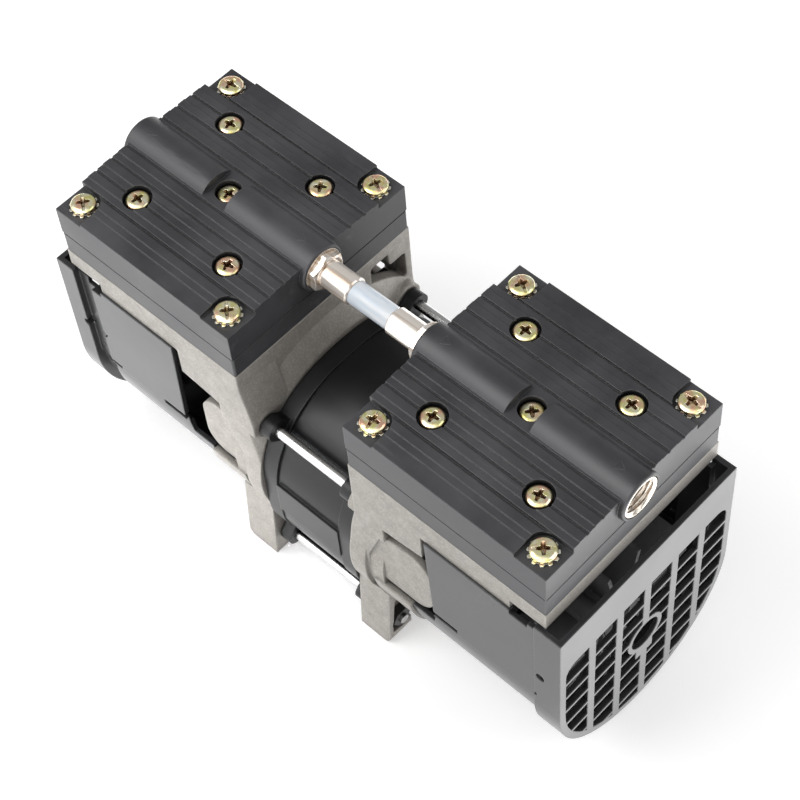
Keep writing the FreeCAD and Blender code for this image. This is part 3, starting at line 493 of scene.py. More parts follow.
@dataclass(frozen=True)
class Paint:
    """Something painted over a finish's colour."""

    colour: Colour

    def mask(self, graph: Graph) -> Socket:
        """Mask the places where the paint lies.

        Args:
            graph: the material's graph.

        Returns:
            The mask.
        """
        raise NotImplementedError

    def over(self, graph: Graph, colour: Socket) -> Socket:
        """Paint over a colour.

        Args:
            graph: the material's graph.
            colour: the colour so far.

        Returns:
            The painted colour.
        """
        return graph.mix(self.mask(graph), colour, colour4(self.colour))


@dataclass(frozen=True)
class Layer(Paint):
    """Colour that an effect lays on, with the effect's own two values."""

    amount: float
    size: float
    effect: Effect = HOLLOW_SHADE

    def mask(self, graph: Graph) -> Socket:
        """Place the effect, as in Paint."""
        return self.effect.place(graph, self.size, self.amount)


@dataclass(frozen=True)
class Edge(Paint):
    """Rounded edges, lightened to a colour of their own: partly wear, partly a painted highlight."""

    radius: float = 0.0006
    strength: float = 0.5

    def mask(self, graph: Graph) -> Socket:
        """Mask the edges, as in Paint."""
        return EDGES.place(graph, self.radius, self.strength)


@dataclass(frozen=True)
class Bloom(Paint):
    """Second, rainbow-like tint of a plating, in patches."""

    amount: float = 0.45
    scale: float = 260.0
    starts: float = 0.48
    full: float = 0.66

    def mask(self, graph: Graph) -> Socket:
        """Mask the patches, as in Paint."""
        patch = graph.noise(graph.place(), self.scale, detail=2.0)
        return graph.span(patch, Ramp(self.starts, self.full, 0.0, self.amount))


@dataclass(frozen=True)
class ReflectionBands(Paint):
    """Painted reflection bands along polished round stock."""

    part: Ramp
    scale: float = 420.0
    drawn: float = 0.03

    def mask(self, graph: Graph) -> Socket:
        """Mask the painted reflection bands, as in Paint."""
        return graph.span(graph.noise(graph.drawn(self.drawn), self.scale, rough=0.6), self.part)


@dataclass(frozen=True)
class ShadedEnds(Paint):
    """Painted shade where round stock runs into the castings."""

    dark: Ramp = Ramp(0.034, 0.036)

    def mask(self, graph: Graph) -> Socket:
        """Mask the two ends, as in Paint."""
        return graph.span(graph.math(Op.ABSOLUTE, graph.along()), self.dark)


def new_material(name: str) -> tuple[Material, Graph, Node]:
    """Start a material with a Principled shader.

    Args:
        name: the material's name.

    Returns:
        The material, its graph and its shader.
    """
    made = bpy.data.materials.new(name)
    made.use_nodes = True
    graph = Graph(made.node_tree)
    out = graph.node("ShaderNodeOutputMaterial")
    shader = graph.node("ShaderNodeBsdfPrincipled")
    graph.link(shader.outputs[0], out.inputs[0])
    return made, graph, shader


@dataclass(frozen=True)
class Finish:
    """Surface with cloudy colour, lighter edges that are partly wear and partly a painted highlight,
    painted shade in recesses, grain and rounded corners.
    """

    name: str
    colour: Colour
    cloud: Colour
    edge: Edge
    rough: tuple[float, float]
    metallic: float = 0.0
    clouds: Clouds = Clouds()
    grain: Grain = Grain()
    specular: float = 0.5
    under: tuple[Paint, ...] = ()
    hollow_shade: Layer | None = None
    lines: Lines | None = None

    def base(self, graph: Graph, cloud: Socket) -> Socket:
        """Build the colour.

        Args:
            graph: the material's graph.
            cloud: the clouds' mask.

        Returns:
            The colour.
        """
        colour = graph.mix(cloud, colour4(self.colour), colour4(self.cloud))
        # the edge colour is partly wear, partly a painted highlight; the last layer is painted shade in
        # recesses
        for paint in (*self.under, self.edge, self.hollow_shade):
            colour = paint.over(graph, colour) if paint else colour
        return colour

    def normal(self, graph: Graph) -> Socket:
        """Build the normal from rounded corners, grain and lines.

        Args:
            graph: the material's graph.

        Returns:
            The normal.
        """
        corner = graph.bevel()
        corner.inputs["Radius"].default_value = self.edge.radius
        height = GRAIN.place(graph, self.grain.scale, self.grain.coarse)
        if self.lines is not None:
            height = self.lines.over(graph, height)
        bump = graph.bump(height, self.grain.strength, self.grain.height)
        graph.link(corner.outputs[0], bump.inputs["Normal"])
        return bump.outputs[0]

    def build(self) -> Material:
        """Make the material.

        Returns:
            The Blender material.
        """
        made, graph, shader = new_material(self.name)
        cloud = CLOUDS.place(graph, self.clouds.scale, self.clouds.contrast)
        graph.link(self.base(graph, cloud), shader.inputs["Base Color"])
        graph.link(graph.span(cloud, Ramp(0.0, 1.0, *self.rough)), shader.inputs["Roughness"])
        shader.inputs["Metallic"].default_value = self.metallic
        shader.inputs["Specular IOR Level"].default_value = self.specular
        graph.link(self.normal(graph), shader.inputs["Normal"])
        return made


@dataclass(frozen=True)
class ClearFinish:
    """Milky clear plastic, with haze and draw marks along X."""

    name: str
    colour: Colour
    haze: Colour
    rough: tuple[float, float] = (0.14, 0.24)
    clear: float = 0.28
    ior: float = 1.42
    haze_drawn: float = 0.15
    haze_scale: float = 500.0
    haze_part: Ramp = Ramp(0.35, 0.65)
    marks_drawn: float = 0.08
    marks_scale: float = 700.0
    marks_height: float = 0.00005
    marks_strength: float = 0.15

    def build(self) -> Material:
        """Make the material.

        Returns:
            The Blender material.
        """
        made, graph, shader = new_material(self.name)
        haze = graph.span(graph.noise(graph.drawn(self.haze_drawn), self.haze_scale), self.haze_part)
        graph.link(graph.mix(haze, colour4(self.colour), colour4(self.haze)), shader.inputs["Base Color"])
        graph.link(graph.span(haze, Ramp(0.0, 1.0, *self.rough)), shader.inputs["Roughness"])
        shader.inputs["Transmission Weight"].default_value = self.clear
        shader.inputs["IOR"].default_value = self.ior
        marks = graph.noise(graph.drawn(self.marks_drawn), self.marks_scale)
        bump = graph.bump(marks, self.marks_strength, self.marks_height)
        graph.link(bump.outputs[0], shader.inputs["Normal"])
        return made


MOULDED = Grain(1800.0, 0.5, 0.00003, 0.25)
TURNED = Grain(2600.0, 0.4, 0.00002, 0.25)
POLISHED = Grain(2600.0, 0.4, 0.00001, 0.2)
PLATED = Grain(3000.0, 0.5, 0.00002, 0.3)

# In each finish below, the hollow layer's dark colour is painted shade in recesses, crosses, bores and
# pockets, and the lighter edge colour is partly wear, partly a painted highlight.
BRIGHT = Finish(
    "Bright steel", grey(0.70), (0.58, 0.58, 0.57), Edge(grey(0.88), 0.0003, 0.4), (0.22, 0.34), 1.0,
    Clouds(200.0, 1.5), TURNED, hollow_shade=Layer(grey(0.02), 1.0, 0.008), lines=Lines(0.0003, 0.25))

SLOT_FINISHES: dict[Slot, Finish | ClearFinish] = {
    Slot.DIE_CAST: Finish(
        "Cast alloy", (0.375, 0.352, 0.322), (0.295, 0.275, 0.248), Edge((0.68, 0.66, 0.62), 0.0013, 0.6),
        (0.40, 0.54), 0.30, Clouds(240.0, 2.2), Grain(1500.0, 0.8, 0.00014, 0.7),
        under=(Layer((0.60, 0.58, 0.54), 0.42, 1500.0, SPECKS),),
        hollow_shade=Layer((0.06, 0.05, 0.045), 0.55, 0.005)),
    Slot.HEAD_PLASTIC: Finish(
        "Moulded head", (0.026, 0.026, 0.029), (0.060, 0.060, 0.065),
        Edge((0.17, 0.17, 0.175), 0.0005, 0.55), (0.38, 0.52), 0.0,
        Clouds(34.0, 2.6), Grain(2400.0, 0.6, 0.00004, 0.3),
        under=(Layer((0.11, 0.11, 0.118), 0.55, 150.0, RUBS),), hollow_shade=Layer(grey(0.004), 1.0, 0.0020)),
    Slot.GASKET_RUBBER: Finish(
        "Seam rubber", grey(0.006), grey(0.010), Edge(grey(0.015)), (0.7, 0.8)),
    Slot.SHROUD_PLASTIC: Finish(
        "Moulded shroud", (0.020, 0.020, 0.022), (0.032, 0.032, 0.034),
        Edge((0.21, 0.21, 0.215), 0.0007, 0.45), (0.26, 0.36), 0.0,
        Clouds(30.0, 1.8), Grain(1800.0, 0.5, 0.00003, 0.22),
        under=(Layer(grey(0.12), 0.06, 400.0, RUBS),)),
    Slot.YELLOW_ZINC: Finish(
        "Yellow zinc", (1.0, 0.97, 0.78), (0.78, 0.72, 0.24), Edge((1.0, 0.99, 0.90), 0.0003, 0.6),
        (0.14, 0.24), 0.85, Clouds(420.0, 3.0), PLATED,
        hollow_shade=Layer((0.115, 0.045, 0.014), 1.0, 0.0024), under=(Bloom((0.90, 0.50, 0.36), 0.85, 330.0),)),
    Slot.WASHER_ZINC: Finish(
        "Washer zinc", (0.96, 0.94, 0.84), (0.84, 0.81, 0.66), Edge((1.0, 1.0, 0.95), 0.0002, 0.6),
        (0.24, 0.36), 1.0, Clouds(500.0, 1.6), PLATED,
        hollow_shade=Layer((0.25, 0.20, 0.12), 0.3, 0.0008), under=(Bloom((0.75, 0.66, 0.45)),)),
    Slot.NICKEL: Finish(
        "Nickel plate", (0.95, 0.90, 0.84), (0.88, 0.80, 0.72), Edge((1.0, 0.98, 0.95), 0.0004, 0.5),
        (0.10, 0.20), 0.6, Clouds(160.0, 1.8), POLISHED,
        hollow_shade=Layer((0.28, 0.20, 0.15), 0.5, 0.0015), under=(
            # tan and dark painted reflection bands
            ReflectionBands((0.62, 0.48, 0.36), Ramp(0.50, 0.60, 0.0, 0.8)),
            ReflectionBands((0.20, 0.15, 0.12), Ramp(0.60, 0.68, 0.0, 0.7)))),
    Slot.INSERT_BRASS: Finish(
        "Turned insert", (0.72, 0.68, 0.62), (0.60, 0.54, 0.46), Edge((0.98, 0.97, 0.94), 0.0003, 0.5),
        (0.20, 0.30), 1.0, Clouds(300.0, 1.4), TURNED,
        hollow_shade=Layer((0.22, 0.13, 0.08), 0.85, 0.006), lines=Lines(0.0002, 0.3)),
    Slot.CLEAR_TUBE: ClearFinish("Milky tube", (0.97, 0.99, 1.0), (0.76, 0.86, 0.98)),
    Slot.BRIGHT_STEEL: BRIGHT,
    Slot.CORE_LACQUER: Finish(
        "Lacquered core", (0.005, 0.005, 0.006), (0.010, 0.010, 0.011),
        Edge((0.16, 0.155, 0.14), 0.0005, 0.6), (0.26, 0.36), 0.0,
        Clouds(40.0, 1.4), Grain(1400.0, 0.7, 0.00003, 0.25), specular=0.30),
    Slot.COIL_COVER: Finish(
        "Coil cover", (0.006, 0.006, 0.007), (0.011, 0.011, 0.012), Edge(grey(0.05), 0.0006, 0.3),
        (0.32, 0.42), 0.0, Clouds(50.0, 1.4), MOULDED, specular=0.30),
    Slot.COPPER_WIRE: Finish(
        "Enamelled wire", (0.50, 0.20, 0.08), (0.62, 0.28, 0.12), Edge((0.8, 0.45, 0.25), 0.0004, 0.3),
        (0.28, 0.38), 0.85, Clouds(200.0, 1.5), Grain(2000.0, 0.5, 0.00010, 0.6), lines=Lines(0.0007, 1.2)),
    Slot.ROTOR_STEEL: Finish(
        "Rotor sheets", (0.34, 0.34, 0.35), (0.26, 0.26, 0.27), Edge(grey(0.55), 0.0004, 0.4),
        (0.34, 0.46), 1.0, Clouds(90.0, 1.6), Grain(2000.0, 0.5, 0.00004, 0.4), lines=Lines(0.0010, 0.8)),
    Slot.CAST_ALLOY: Finish(
        "Rod alloy", (0.62, 0.62, 0.63), (0.50, 0.50, 0.51), Edge(grey(0.82), 0.0008, 0.5),
        (0.42, 0.55), 0.8, Clouds(120.0, 1.6), Grain(1600.0, 0.8, 0.00008, 0.5)),
    Slot.BEARING_STEEL: Finish(
        "Bearing steel", (0.66, 0.67, 0.69), (0.58, 0.59, 0.61), Edge((0.85, 0.85, 0.86), 0.0003, 0.4),
        (0.14, 0.22), 1.0, Clouds(150.0, 1.4), POLISHED),
    Slot.DIAPHRAGM_RUBBER: Finish(
        "Diaphragm rubber", grey(0.022), grey(0.034), Edge(grey(0.06), 0.0004, 0.3),
        (0.55, 0.68), 0.0, Clouds(90.0, 1.5), Grain(2200.0, 0.5, 0.00003, 0.3)),
    Slot.TURNED_ALLOY: Finish(
        "Turned alloy", (0.72, 0.72, 0.74), (0.64, 0.64, 0.66), Edge(grey(0.88), 0.0004, 0.4),
        (0.26, 0.34), 1.0, Clouds(160.0, 1.4), TURNED),
    Slot.GREY_IRON: Finish(
        "Grey iron", (0.26, 0.26, 0.27), (0.20, 0.19, 0.18), Edge(grey(0.45), 0.0006, 0.4),
        (0.40, 0.55), 0.9, Clouds(150.0, 1.7), Grain(1700.0, 0.8, 0.00006, 0.45)),
    Slot.FAN_PLASTIC: Finish(
        "Moulded fan", (0.15, 0.15, 0.155), (0.20, 0.20, 0.205), Edge(grey(0.34), 0.0005, 0.35),
        (0.44, 0.55), 0.0, Clouds(70.0, 1.5), Grain(2000.0, 0.5, 0.00003, 0.25)),
    Slot.REED_STEEL: Finish(
        "Reed steel", (0.74, 0.74, 0.73), grey(0.66), Edge(grey(0.9), 0.0002, 0.3),
        (0.20, 0.28), 1.0, Clouds(160.0, 1.4), POLISHED),
}

NODE_FINISHES: dict[str, Finish] = {
    # the nuts sit in the foot pockets; their near-black colour is painted shade
    "tie_rod_nuts": Finish(
        "Shade-darkened steel", (0.030, 0.029, 0.028), (0.050, 0.048, 0.045), Edge((0.14, 0.14, 0.13), 0.0003, 0.4),
        (0.40, 0.52), 0.4, Clouds(200.0, 1.5), TURNED),
    # the rods' ends inside the castings are darkened as painted shade
    "tie_rods": replace(BRIGHT, name="Rod steel", under=(ShadedEnds((0.030, 0.028, 0.026)),)),
}


class Finishes:
    """The built finishes, by material slot and, for a few nodes, by node."""

    def __init__(self) -> None:
        """Build the finishes."""
        self.by_slot = {slot: finish.build() for slot, finish in SLOT_FINISHES.items()}
        self.by_node = {node: finish.build() for node, finish in NODE_FINISHES.items()}

    def dress_nodes(self) -> None:
        """Give every solid of the frame the finish of its slot, or its own."""
        for row in frame["record"]["subparts"]:
            node = frame["nodes"][row["node"]]
            slot = Slot(row["material_slot"])
            node.data.materials.clear()
            node.data.materials.append(self.by_node.get(row["node"], self.by_slot[slot]))
            LOG.info("dressed %s as %s", row["node"], slot.value)

    def wear(self, piece: Object, slot: Slot, node: str = "") -> None:
        """Give a new piece a slot's finish, and let it ride on the pump's body.

        Args:
            piece: the new piece.
            slot: the record's material slot.
            node: the node that it takes the place of, if any.
        """
        piece.data.materials.clear()
        piece.data.materials.append(self.by_slot[slot])
        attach(piece, "pump")
        if node:
            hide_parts(node)
        LOG.info("made %s", piece.name)


def circle_point(radius: float, turn: float) -> Point:
    """Give a point of a circle in metres, from its radius in millimetres."""
    return (radius * MM * math.cos(turn), radius * MM * math.sin(turn))


def cross_outline(reach: float, width: float) -> list[Point]:
    """Outline of a cross recess seen from above.

    Args:
        reach: from the middle to the end of a wing, in millimetres.
        width: width of a wing.

    Returns:
        The outline's points.
    """
    half = width / 2
    inside = half * 1.5
    points = []
    for k in range(4):
        turn = math.tau * k / 4
        for x, y in ((reach, -half), (reach, half), (inside, inside)):
            points.append((x * math.cos(turn) - y * math.sin(turn),
                           x * math.sin(turn) + y * math.cos(turn)))
    return points


def add_object(name: str, data: ID) -> Object:
    """Put an object with that data into the scene."""
    made = bpy.data.objects.new(name, data)
    bpy.context.scene.collection.objects.link(made)
    return made


def make_piece(name: str, mesh: BMesh, smooth_angle: float = 35.0) -> Object:
    """Turn a bmesh into an object with smooth faces and sharp edges.

    Args:
        name: the object's name.
        mesh: the bmesh, which is freed.
        smooth_angle: edges bent by more than this stay sharp, in degrees.

    Returns:
        The new object.
    """
    bmesh.ops.recalc_face_normals(mesh, faces=mesh.faces)
    limit = math.radians(smooth_angle)
    for face in mesh.faces:
        face.smooth = True
    for edge in mesh.edges:
        edge.smooth = len(edge.link_faces) == 2 and edge.calc_face_angle(math.pi) < limit
    data = bpy.data.meshes.new(name)
    mesh.to_mesh(data)
    mesh.free()
    return add_object(name, data)


def turned(profile: Sequence[Point], steps: int) -> BMesh:
    """Turn (radius, height) points in millimetres about Z into a closed mesh.

    Args:
        profile: the points, from one end of the axis to the other.
        steps: how many faces go round.

    Returns:
        The mesh, in metres.
    """
    mesh = bmesh.new()
    rings: Rows = []
    for radius, height in profile:
        turns = [math.tau * k / steps for k in range(steps)] if radius > 0.0 else [0.0]
        rings.append([mesh.verts.new((*circle_point(radius, turn), height * MM)) for turn in turns])
    for low, high in zip(rings, rings[1:]):
        for k in range(steps):
            after = (k + 1) % steps
            if len(low) == 1:
                mesh.faces.new((low[0], high[after], high[k]))
            elif len(high) == 1:
                mesh.faces.new((low[k], low[after], high[0]))
            else:
                mesh.faces.new((low[k], low[after], high[after], high[k]))
    return mesh


def wrapped(sections: Sequence[Sequence[Point]], along_x: bool = False) -> BMesh:
    """Set (radius, height) cuts in millimetres round an axis, and join each to the next.

    Args:
        sections: the cuts' closed loops, all with the same number of points.
        along_x: whether the axis is X, else Z.

    Returns:
        The mesh, in metres.
    """
    mesh = bmesh.new()
    rows: Rows = []
    for k, section in enumerate(sections):
        turn = math.tau * k / len(sections)
        row = []
        for radius, height in section:
            across = circle_point(radius, turn)
            row.append(mesh.verts.new((height * MM, *across) if along_x else (*across, height * MM)))
        rows.append(row)
    for here, there in zip(rows, rows[1:] + rows[:1]):
        for i in range(len(here)):
            j = (i + 1) % len(here)
            mesh.faces.new((here[i], there[i], there[j], here[j]))
    return mesh


def prism(points: Sequence[Point], low: float, high: float, shrink: float = 1.0) -> BMesh:
    """Raise an outline in millimetres along Z, drawn in at the bottom by shrink.

    Args:
        points: the outline.
        low: height of the bottom.
        high: height of the top.
        shrink: size of the bottom outline over that of the top.

    Returns:
        The mesh, in metres.
    """
    mesh = bmesh.new()
    floor = [mesh.verts.new((x * shrink * MM, y * shrink * MM, low * MM)) for x, y in points]
    roof = [mesh.verts.new((x * MM, y * MM, high * MM)) for x, y in points]
    mesh.faces.new(floor[::-1])
    mesh.faces.new(roof)
    for k in range(len(points)):
        after = (k + 1) % len(points)
        mesh.faces.new((floor[k], floor[after], roof[after], roof[k]))
    return mesh


def carve(body: Object, tools: Iterable[Object]) -> None:
    """Cut tools out of a body and delete them.

    Args:
        body: the object that is cut.
        tools: the cutting objects.
    """
    for tool in tools:
        cut = body.modifiers.new("cut", "BOOLEAN")
        cut.operation = "DIFFERENCE"
        cut.solver = "EXACT"
        cut.object = tool
        depsgraph = bpy.context.evaluated_depsgraph_get()
        finished = bpy.data.meshes.new_from_object(body.evaluated_get(depsgraph))
        body.modifiers.clear()
        body.data = finished
        bpy.data.objects.remove(tool)


def copies(name: str, pattern: Object, places: Sequence[Matrix]) -> Object:
    """Join copies of one pattern into a single object and delete the pattern.

    Args:
        name: the new object's name.
        pattern: the piece to repeat, round the origin.
        places: where each copy goes.

    Returns:
        The joined object.
    """
    mesh = bmesh.new()
    for place in places:
        start = len(mesh.verts)
        mesh.from_mesh(pattern.data)
        mesh.verts.ensure_lookup_table()
        bmesh.ops.transform(mesh, matrix=place, verts=mesh.verts[start:])
    bpy.data.objects.remove(pattern)
    return make_piece(name, mesh)


@dataclass
class HeadLayout:
    """Places on the two heads, read from the frame, in millimetres."""

    corner_at: float = 33.0
    inner_at: float = 20.6
    centres: list[float] = field(default_factory=list)

    def __post_init__(self) -> None:
        """Read the middle of each head."""
        for node in ("right_valve_plate", "left_valve_plate"):
            low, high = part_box(node)
            self.centres.append((low.x + high.x) / 2 / MM)

    def spots(self, at: float) -> list[Point]:
        """Give the four places at that distance from the middle lines of each head.

        Args:
            at: distance along X and Y.

        Returns:
            (x, y) of each place.
        """
        return [(c + sx * at, sy * at) for c in self.centres for sx in (-1, 1) for sy in (-1, 1)]


@dataclass
class PanScrew:
    """Pan head screw with a cross recess and a slot, in millimetres.

    The rim, round and crown are given as shares of the head's radius and height. The
    cutting pieces reach past the head by the value of that name, and by half of it above.
    """

    head_r: float
    head_high: float
    shank_r: float
    shank_long: float
    wing_reach: float
    wing_width: float
    recess_deep: float
    slot_width: float = 0.9
    slot_deep: float = 0.5
    recess_taper: float = 0.45
    tip_long: float = 0.5
    tip_share: float = 0.8
    rim: tuple[Point, ...] = ((0.96, 0.0), (1.0, 0.12), (1.0, 0.45))
    flat_share: float = 0.52
    round_low: float = 0.45
    round_high: float = 0.47
    crown: tuple[Point, ...] = ((0.30, 0.975), (0.0, 1.0))
    round_steps: int = 7
    steps: int = 56
    past: float = 1.0

    def profile(self) -> list[Point]:
        """Outline from the tip of the shank to the crown, with the head's seat at height 0."""
        head = list(self.rim)
        for k in range(1, self.round_steps + 1):
            turn = math.pi / 2 * k / self.round_steps
            head.append((self.flat_share + (1.0 - self.flat_share) * math.cos(turn),
                         self.round_low + self.round_high * math.sin(turn)))
        points = [(0.0, -self.shank_long), (self.shank_r * self.tip_share, -self.shank_long),
                  (self.shank_r, -self.shank_long + self.tip_long), (self.shank_r, 0.0)]
        return points + [(self.head_r * x, self.head_high * y) for x, y in (*head, *self.crown)]

    def build(self, name: str) -> Object:
        """Make one screw with its seat at the origin.

        Args:
            name: the object's name.

        Returns:
            The screw.
        """
        body = make_piece(name, turned(self.profile(), self.steps))
        top = self.head_high + self.past / 2
        wings = cross_outline(self.wing_reach, self.wing_width)
        cross = prism(wings, self.head_high - self.recess_deep, top, self.recess_taper)
        long, half = self.head_r + self.past, self.slot_width / 2
        slot = prism([(-long, -half), (long, -half), (long, half), (-long, half)],
                     self.head_high - self.slot_deep, top)
        carve(body, (make_piece(name + "_cross", cross), make_piece(name + "_slot", slot)))
        return body


@dataclass
class ToothedWasher:
    """Lock washer whose outer edge is cut into twisted teeth, in millimetres."""

    bore_r: float = 2.65
    root_r: float = 4.05
    tip_r: float = 4.85
    tip_root: float = 0.05
    thick: float = 0.40
    room: float = 0.60
    twist: float = 0.10
    teeth: int = 11
    tooth_steps: int = 6
    sharp_angle: float = 25.0

    def section(self, part: int) -> list[Point]:
        """Give the (radius, height) points of one cut through the washer.

        Args:
            part: which step of a tooth and its gap it is, from 0.

        Returns:
            The loop of points.
        """
        leans = {1: -self.twist, 2: 0.0, 3: self.twist}
        on_tooth = part in leans
        low = 0.5 * (self.room - self.thick)
        high = low + self.thick
        lean = leans.get(part, 0.0)
        root = self.root_r - self.tip_root if on_tooth else self.root_r
        rim = self.tip_r if on_tooth else self.root_r
        return [(self.bore_r, low), (root, low), (rim, low + lean), (rim, low + lean + self.thick),
                (root, high), (self.bore_r, high)]

    def build(self, name: str) -> Object:
        """Make one washer with its underside at the origin.

        Args:
            name: the object's name.

        Returns:
            The washer.
        """
        mesh = wrapped([self.section(part) for part in range(self.tooth_steps)] * self.teeth)
        bmesh.ops.remove_doubles(mesh, verts=mesh.verts, dist=1e-7)
        return make_piece(name, mesh, self.sharp_angle)


@dataclass
class HeadFasteners:
    """Screws and washers that hold the heads together."""

    layout: HeadLayout
    finishes: Finishes
    seed: int = 7
    middle_drop: float = 0.5

    def places(self, spots: Sequence[Point], seat: float) -> list[Matrix]:
        """Turn each spot into a place with a turn of its own.

        Args:
            spots: (x, y) of each copy.
            seat: height of the seat.

        Returns:
            A matrix for each copy.
        """
        dice = random.Random(self.seed + round(seat * 10))
        made = []
        for x, y in spots:
            place = Matrix.Translation(Vector((x, y, seat)) * MM)
            made.append(place @ Matrix.Rotation(dice.uniform(0, math.tau), 4, "Z"))
        return made

    def build(self) -> None:
        """Make the corner screws, their washers and the cover screws."""
        corner = PanScrew(head_r=4.2, head_high=2.2, shank_r=2.5, shank_long=27.6, wing_reach=2.75,
                          wing_width=1.20, recess_deep=1.8)
        inner = PanScrew(head_r=4.15, head_high=3.0, shank_r=2.0, shank_long=12.6, wing_reach=2.60,
                         wing_width=1.15, recess_deep=2.2, slot_width=0.7, slot_deep=0.3)
        low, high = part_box("lock_washers")
        corner_spots = self.layout.spots(self.layout.corner_at)
        washers = copies("corner_toothed_washers", ToothedWasher().build("washer"),
                         self.places(corner_spots, low.z / MM))
        corners = copies("corner_pan_screws", corner.build("corner_screw"),
                         self.places(corner_spots, high.z / MM))
        inner_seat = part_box("cover_screws")[1].z / MM - inner.head_high
        spots = self.places(self.layout.spots(self.layout.inner_at), inner_seat)
        spots += self.places([(c, 0.0) for c in self.layout.centres], inner_seat - self.middle_drop)
        inners = copies("cover_pan_screws", inner.build("cover_screw"), spots)
        for piece, slot, node in ((washers, Slot.WASHER_ZINC, "lock_washers"),
                                  (corners, Slot.YELLOW_ZINC, "corner_screws"),
                                  (inners, Slot.YELLOW_ZINC, "cover_screws")):
            self.finishes.wear(piece, slot, node)


@dataclass
class ThreadedInsert:
    """Bush with a female pipe thread and a chamfered mouth, in millimetres."""

    node: str
    finishes: Finishes
    outer_r: float = 7.4
    minor_r: float = 5.72
    major_r: float = 6.45
    pitch: float = 1.337
    chamfer: float = 0.4
    mouth_gap: float = 0.15
    lead_in: float = 0.6
    steps: int = 48
    pitch_steps: int = 6
    sharp_angle: float = 50.0

    def section(self, mouth: float, deep: float, share: float) -> list[Point]:
        """Give the (radius, X) points of one cut through the bush.

        Args:
            mouth: X of the open face.
            deep: X of the inner end.
            share: how far round the cut is, from 0 to 1.

        Returns:
            The loop of points.
        """
        side, length = math.copysign(1.0, mouth - deep), abs(mouth - deep)
        loop = [(self.outer_r, 0.0), (self.outer_r, length - self.chamfer),
                (self.outer_r - self.chamfer, length), (self.major_r + self.mouth_gap, length)]
        count = int(length / self.pitch * self.pitch_steps)
        threaded = length - self.lead_in
        for i in range(count + 1):
            along = threaded - threaded * i / count
            phase = (along / self.pitch - share) % 1.0
            fade = min(1.0, along / self.pitch)
            tooth = 1.0 - abs(2.0 * phase - 1.0)
            loop.append((self.minor_r + (self.major_r - self.minor_r) * tooth * fade, along))
        return [(radius, deep + side * along) for radius, along in loop]

    def build(self) -> None:
        """Make the bush in place of its node."""
        low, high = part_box(self.node)
        outward = abs(high.x) > abs(low.x)
        mouth, deep = (high.x / MM, low.x / MM) if outward else (low.x / MM, high.x / MM)
        cuts = [self.section(mouth, deep, k / self.steps) for k in range(self.steps)]
        mesh = wrapped(cuts, along_x=True)
        bmesh.ops.translate(mesh, vec=Vector((0, 0, (low.z + high.z) / 2)), verts=mesh.verts)
        piece = make_piece(self.node + "_threaded", mesh, self.sharp_angle)
        self.finishes.wear(piece, Slot.INSERT_BRASS, self.node)


@dataclass
class BossMarks:
    """Plain triangle marks moulded on the port bosses near their ends, in millimetres."""

    layout: HeadLayout
    finishes: Finishes
    boss_r: float = 8.5
    side: float = 3.8
    line: float = 0.24
    sunk: float = 0.15
    from_middle: float = 33.5
    side_steps: int = 6

    def loop(self, x: float, axis_z: float) -> list[Vector]:
        """Lay one triangle's outline on the round boss.

        Args:
            x: middle of the triangle along the boss.
            axis_z: height of the boss's axis.

        Returns:
            The outline's points, in metres.
        """
        half_high = self.side * math.sqrt(3) / 2 / 2
        corners = [(x + half_high, 0.0), (x - half_high, self.side / 2), (x - half_high, -self.side / 2)]
        points = []
        for (x0, y0), (x1, y1) in zip(corners, corners[1:] + corners[:1]):
            for k in range(self.side_steps):
                share = k / self.side_steps
                px, py = x0 + (x1 - x0) * share, y0 + (y1 - y0) * share
                points.append(Vector((px, py, axis_z + math.sqrt(self.boss_r ** 2 - py ** 2))) * MM)
        return points

    def mark(self, name: str, points: Sequence[Vector]) -> None:
        """Make one mark.

        Args:
            name: the piece's name.
            points: the outline's points, in metres.
        """
        data = bpy.data.curves.new(name, "CURVE")
        data.dimensions = "3D"
        data.bevel_depth = self.line * MM
        data.bevel_resolution = 1
        spline = data.splines.new("POLY")
        spline.points.add(len(points) - 1)
        for point, where in zip(spline.points, points):
            point.co = (where.x, where.y, where.z - self.sunk * MM, 1.0)
        spline.use_cyclic_u = True
        self.finishes.wear(add_object(name, data), Slot.HEAD_PLASTIC)

    def build(self) -> None:
        """Make one mark near each end of both bosses."""
        low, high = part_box("outlet_port_insert")
        axis_z = (low.z + high.z) / 2 / MM
        for label, centre in zip(("right", "left"), self.layout.centres):
            for end, way in (("inner", -1), ("outer", 1)):
                self.mark(f"{label}_{end}_mark", self.loop(centre + way * self.from_middle, axis_z))


@dataclass(frozen=True)
class Lamp:
    """Soft square lamp, in metres, watts and degrees."""

    name: str
    place: Place
    size: float
    power: float
    goal: Place = (0.0, 0.0, 0.06)
    spread: float = 180.0

    def build(self) -> None:
        """Hang the lamp facing its goal."""
        data = bpy.data.lights.new(self.name, "AREA")
        data.size = self.size
        data.energy = self.power
        data.spread = math.radians(self.spread)
        made = add_object(self.name, data)
        made.location = self.place
        aim = Vector(self.goal) - Vector(self.place)
        made.rotation_euler = aim.to_track_quat("-Z", "Y").to_euler()


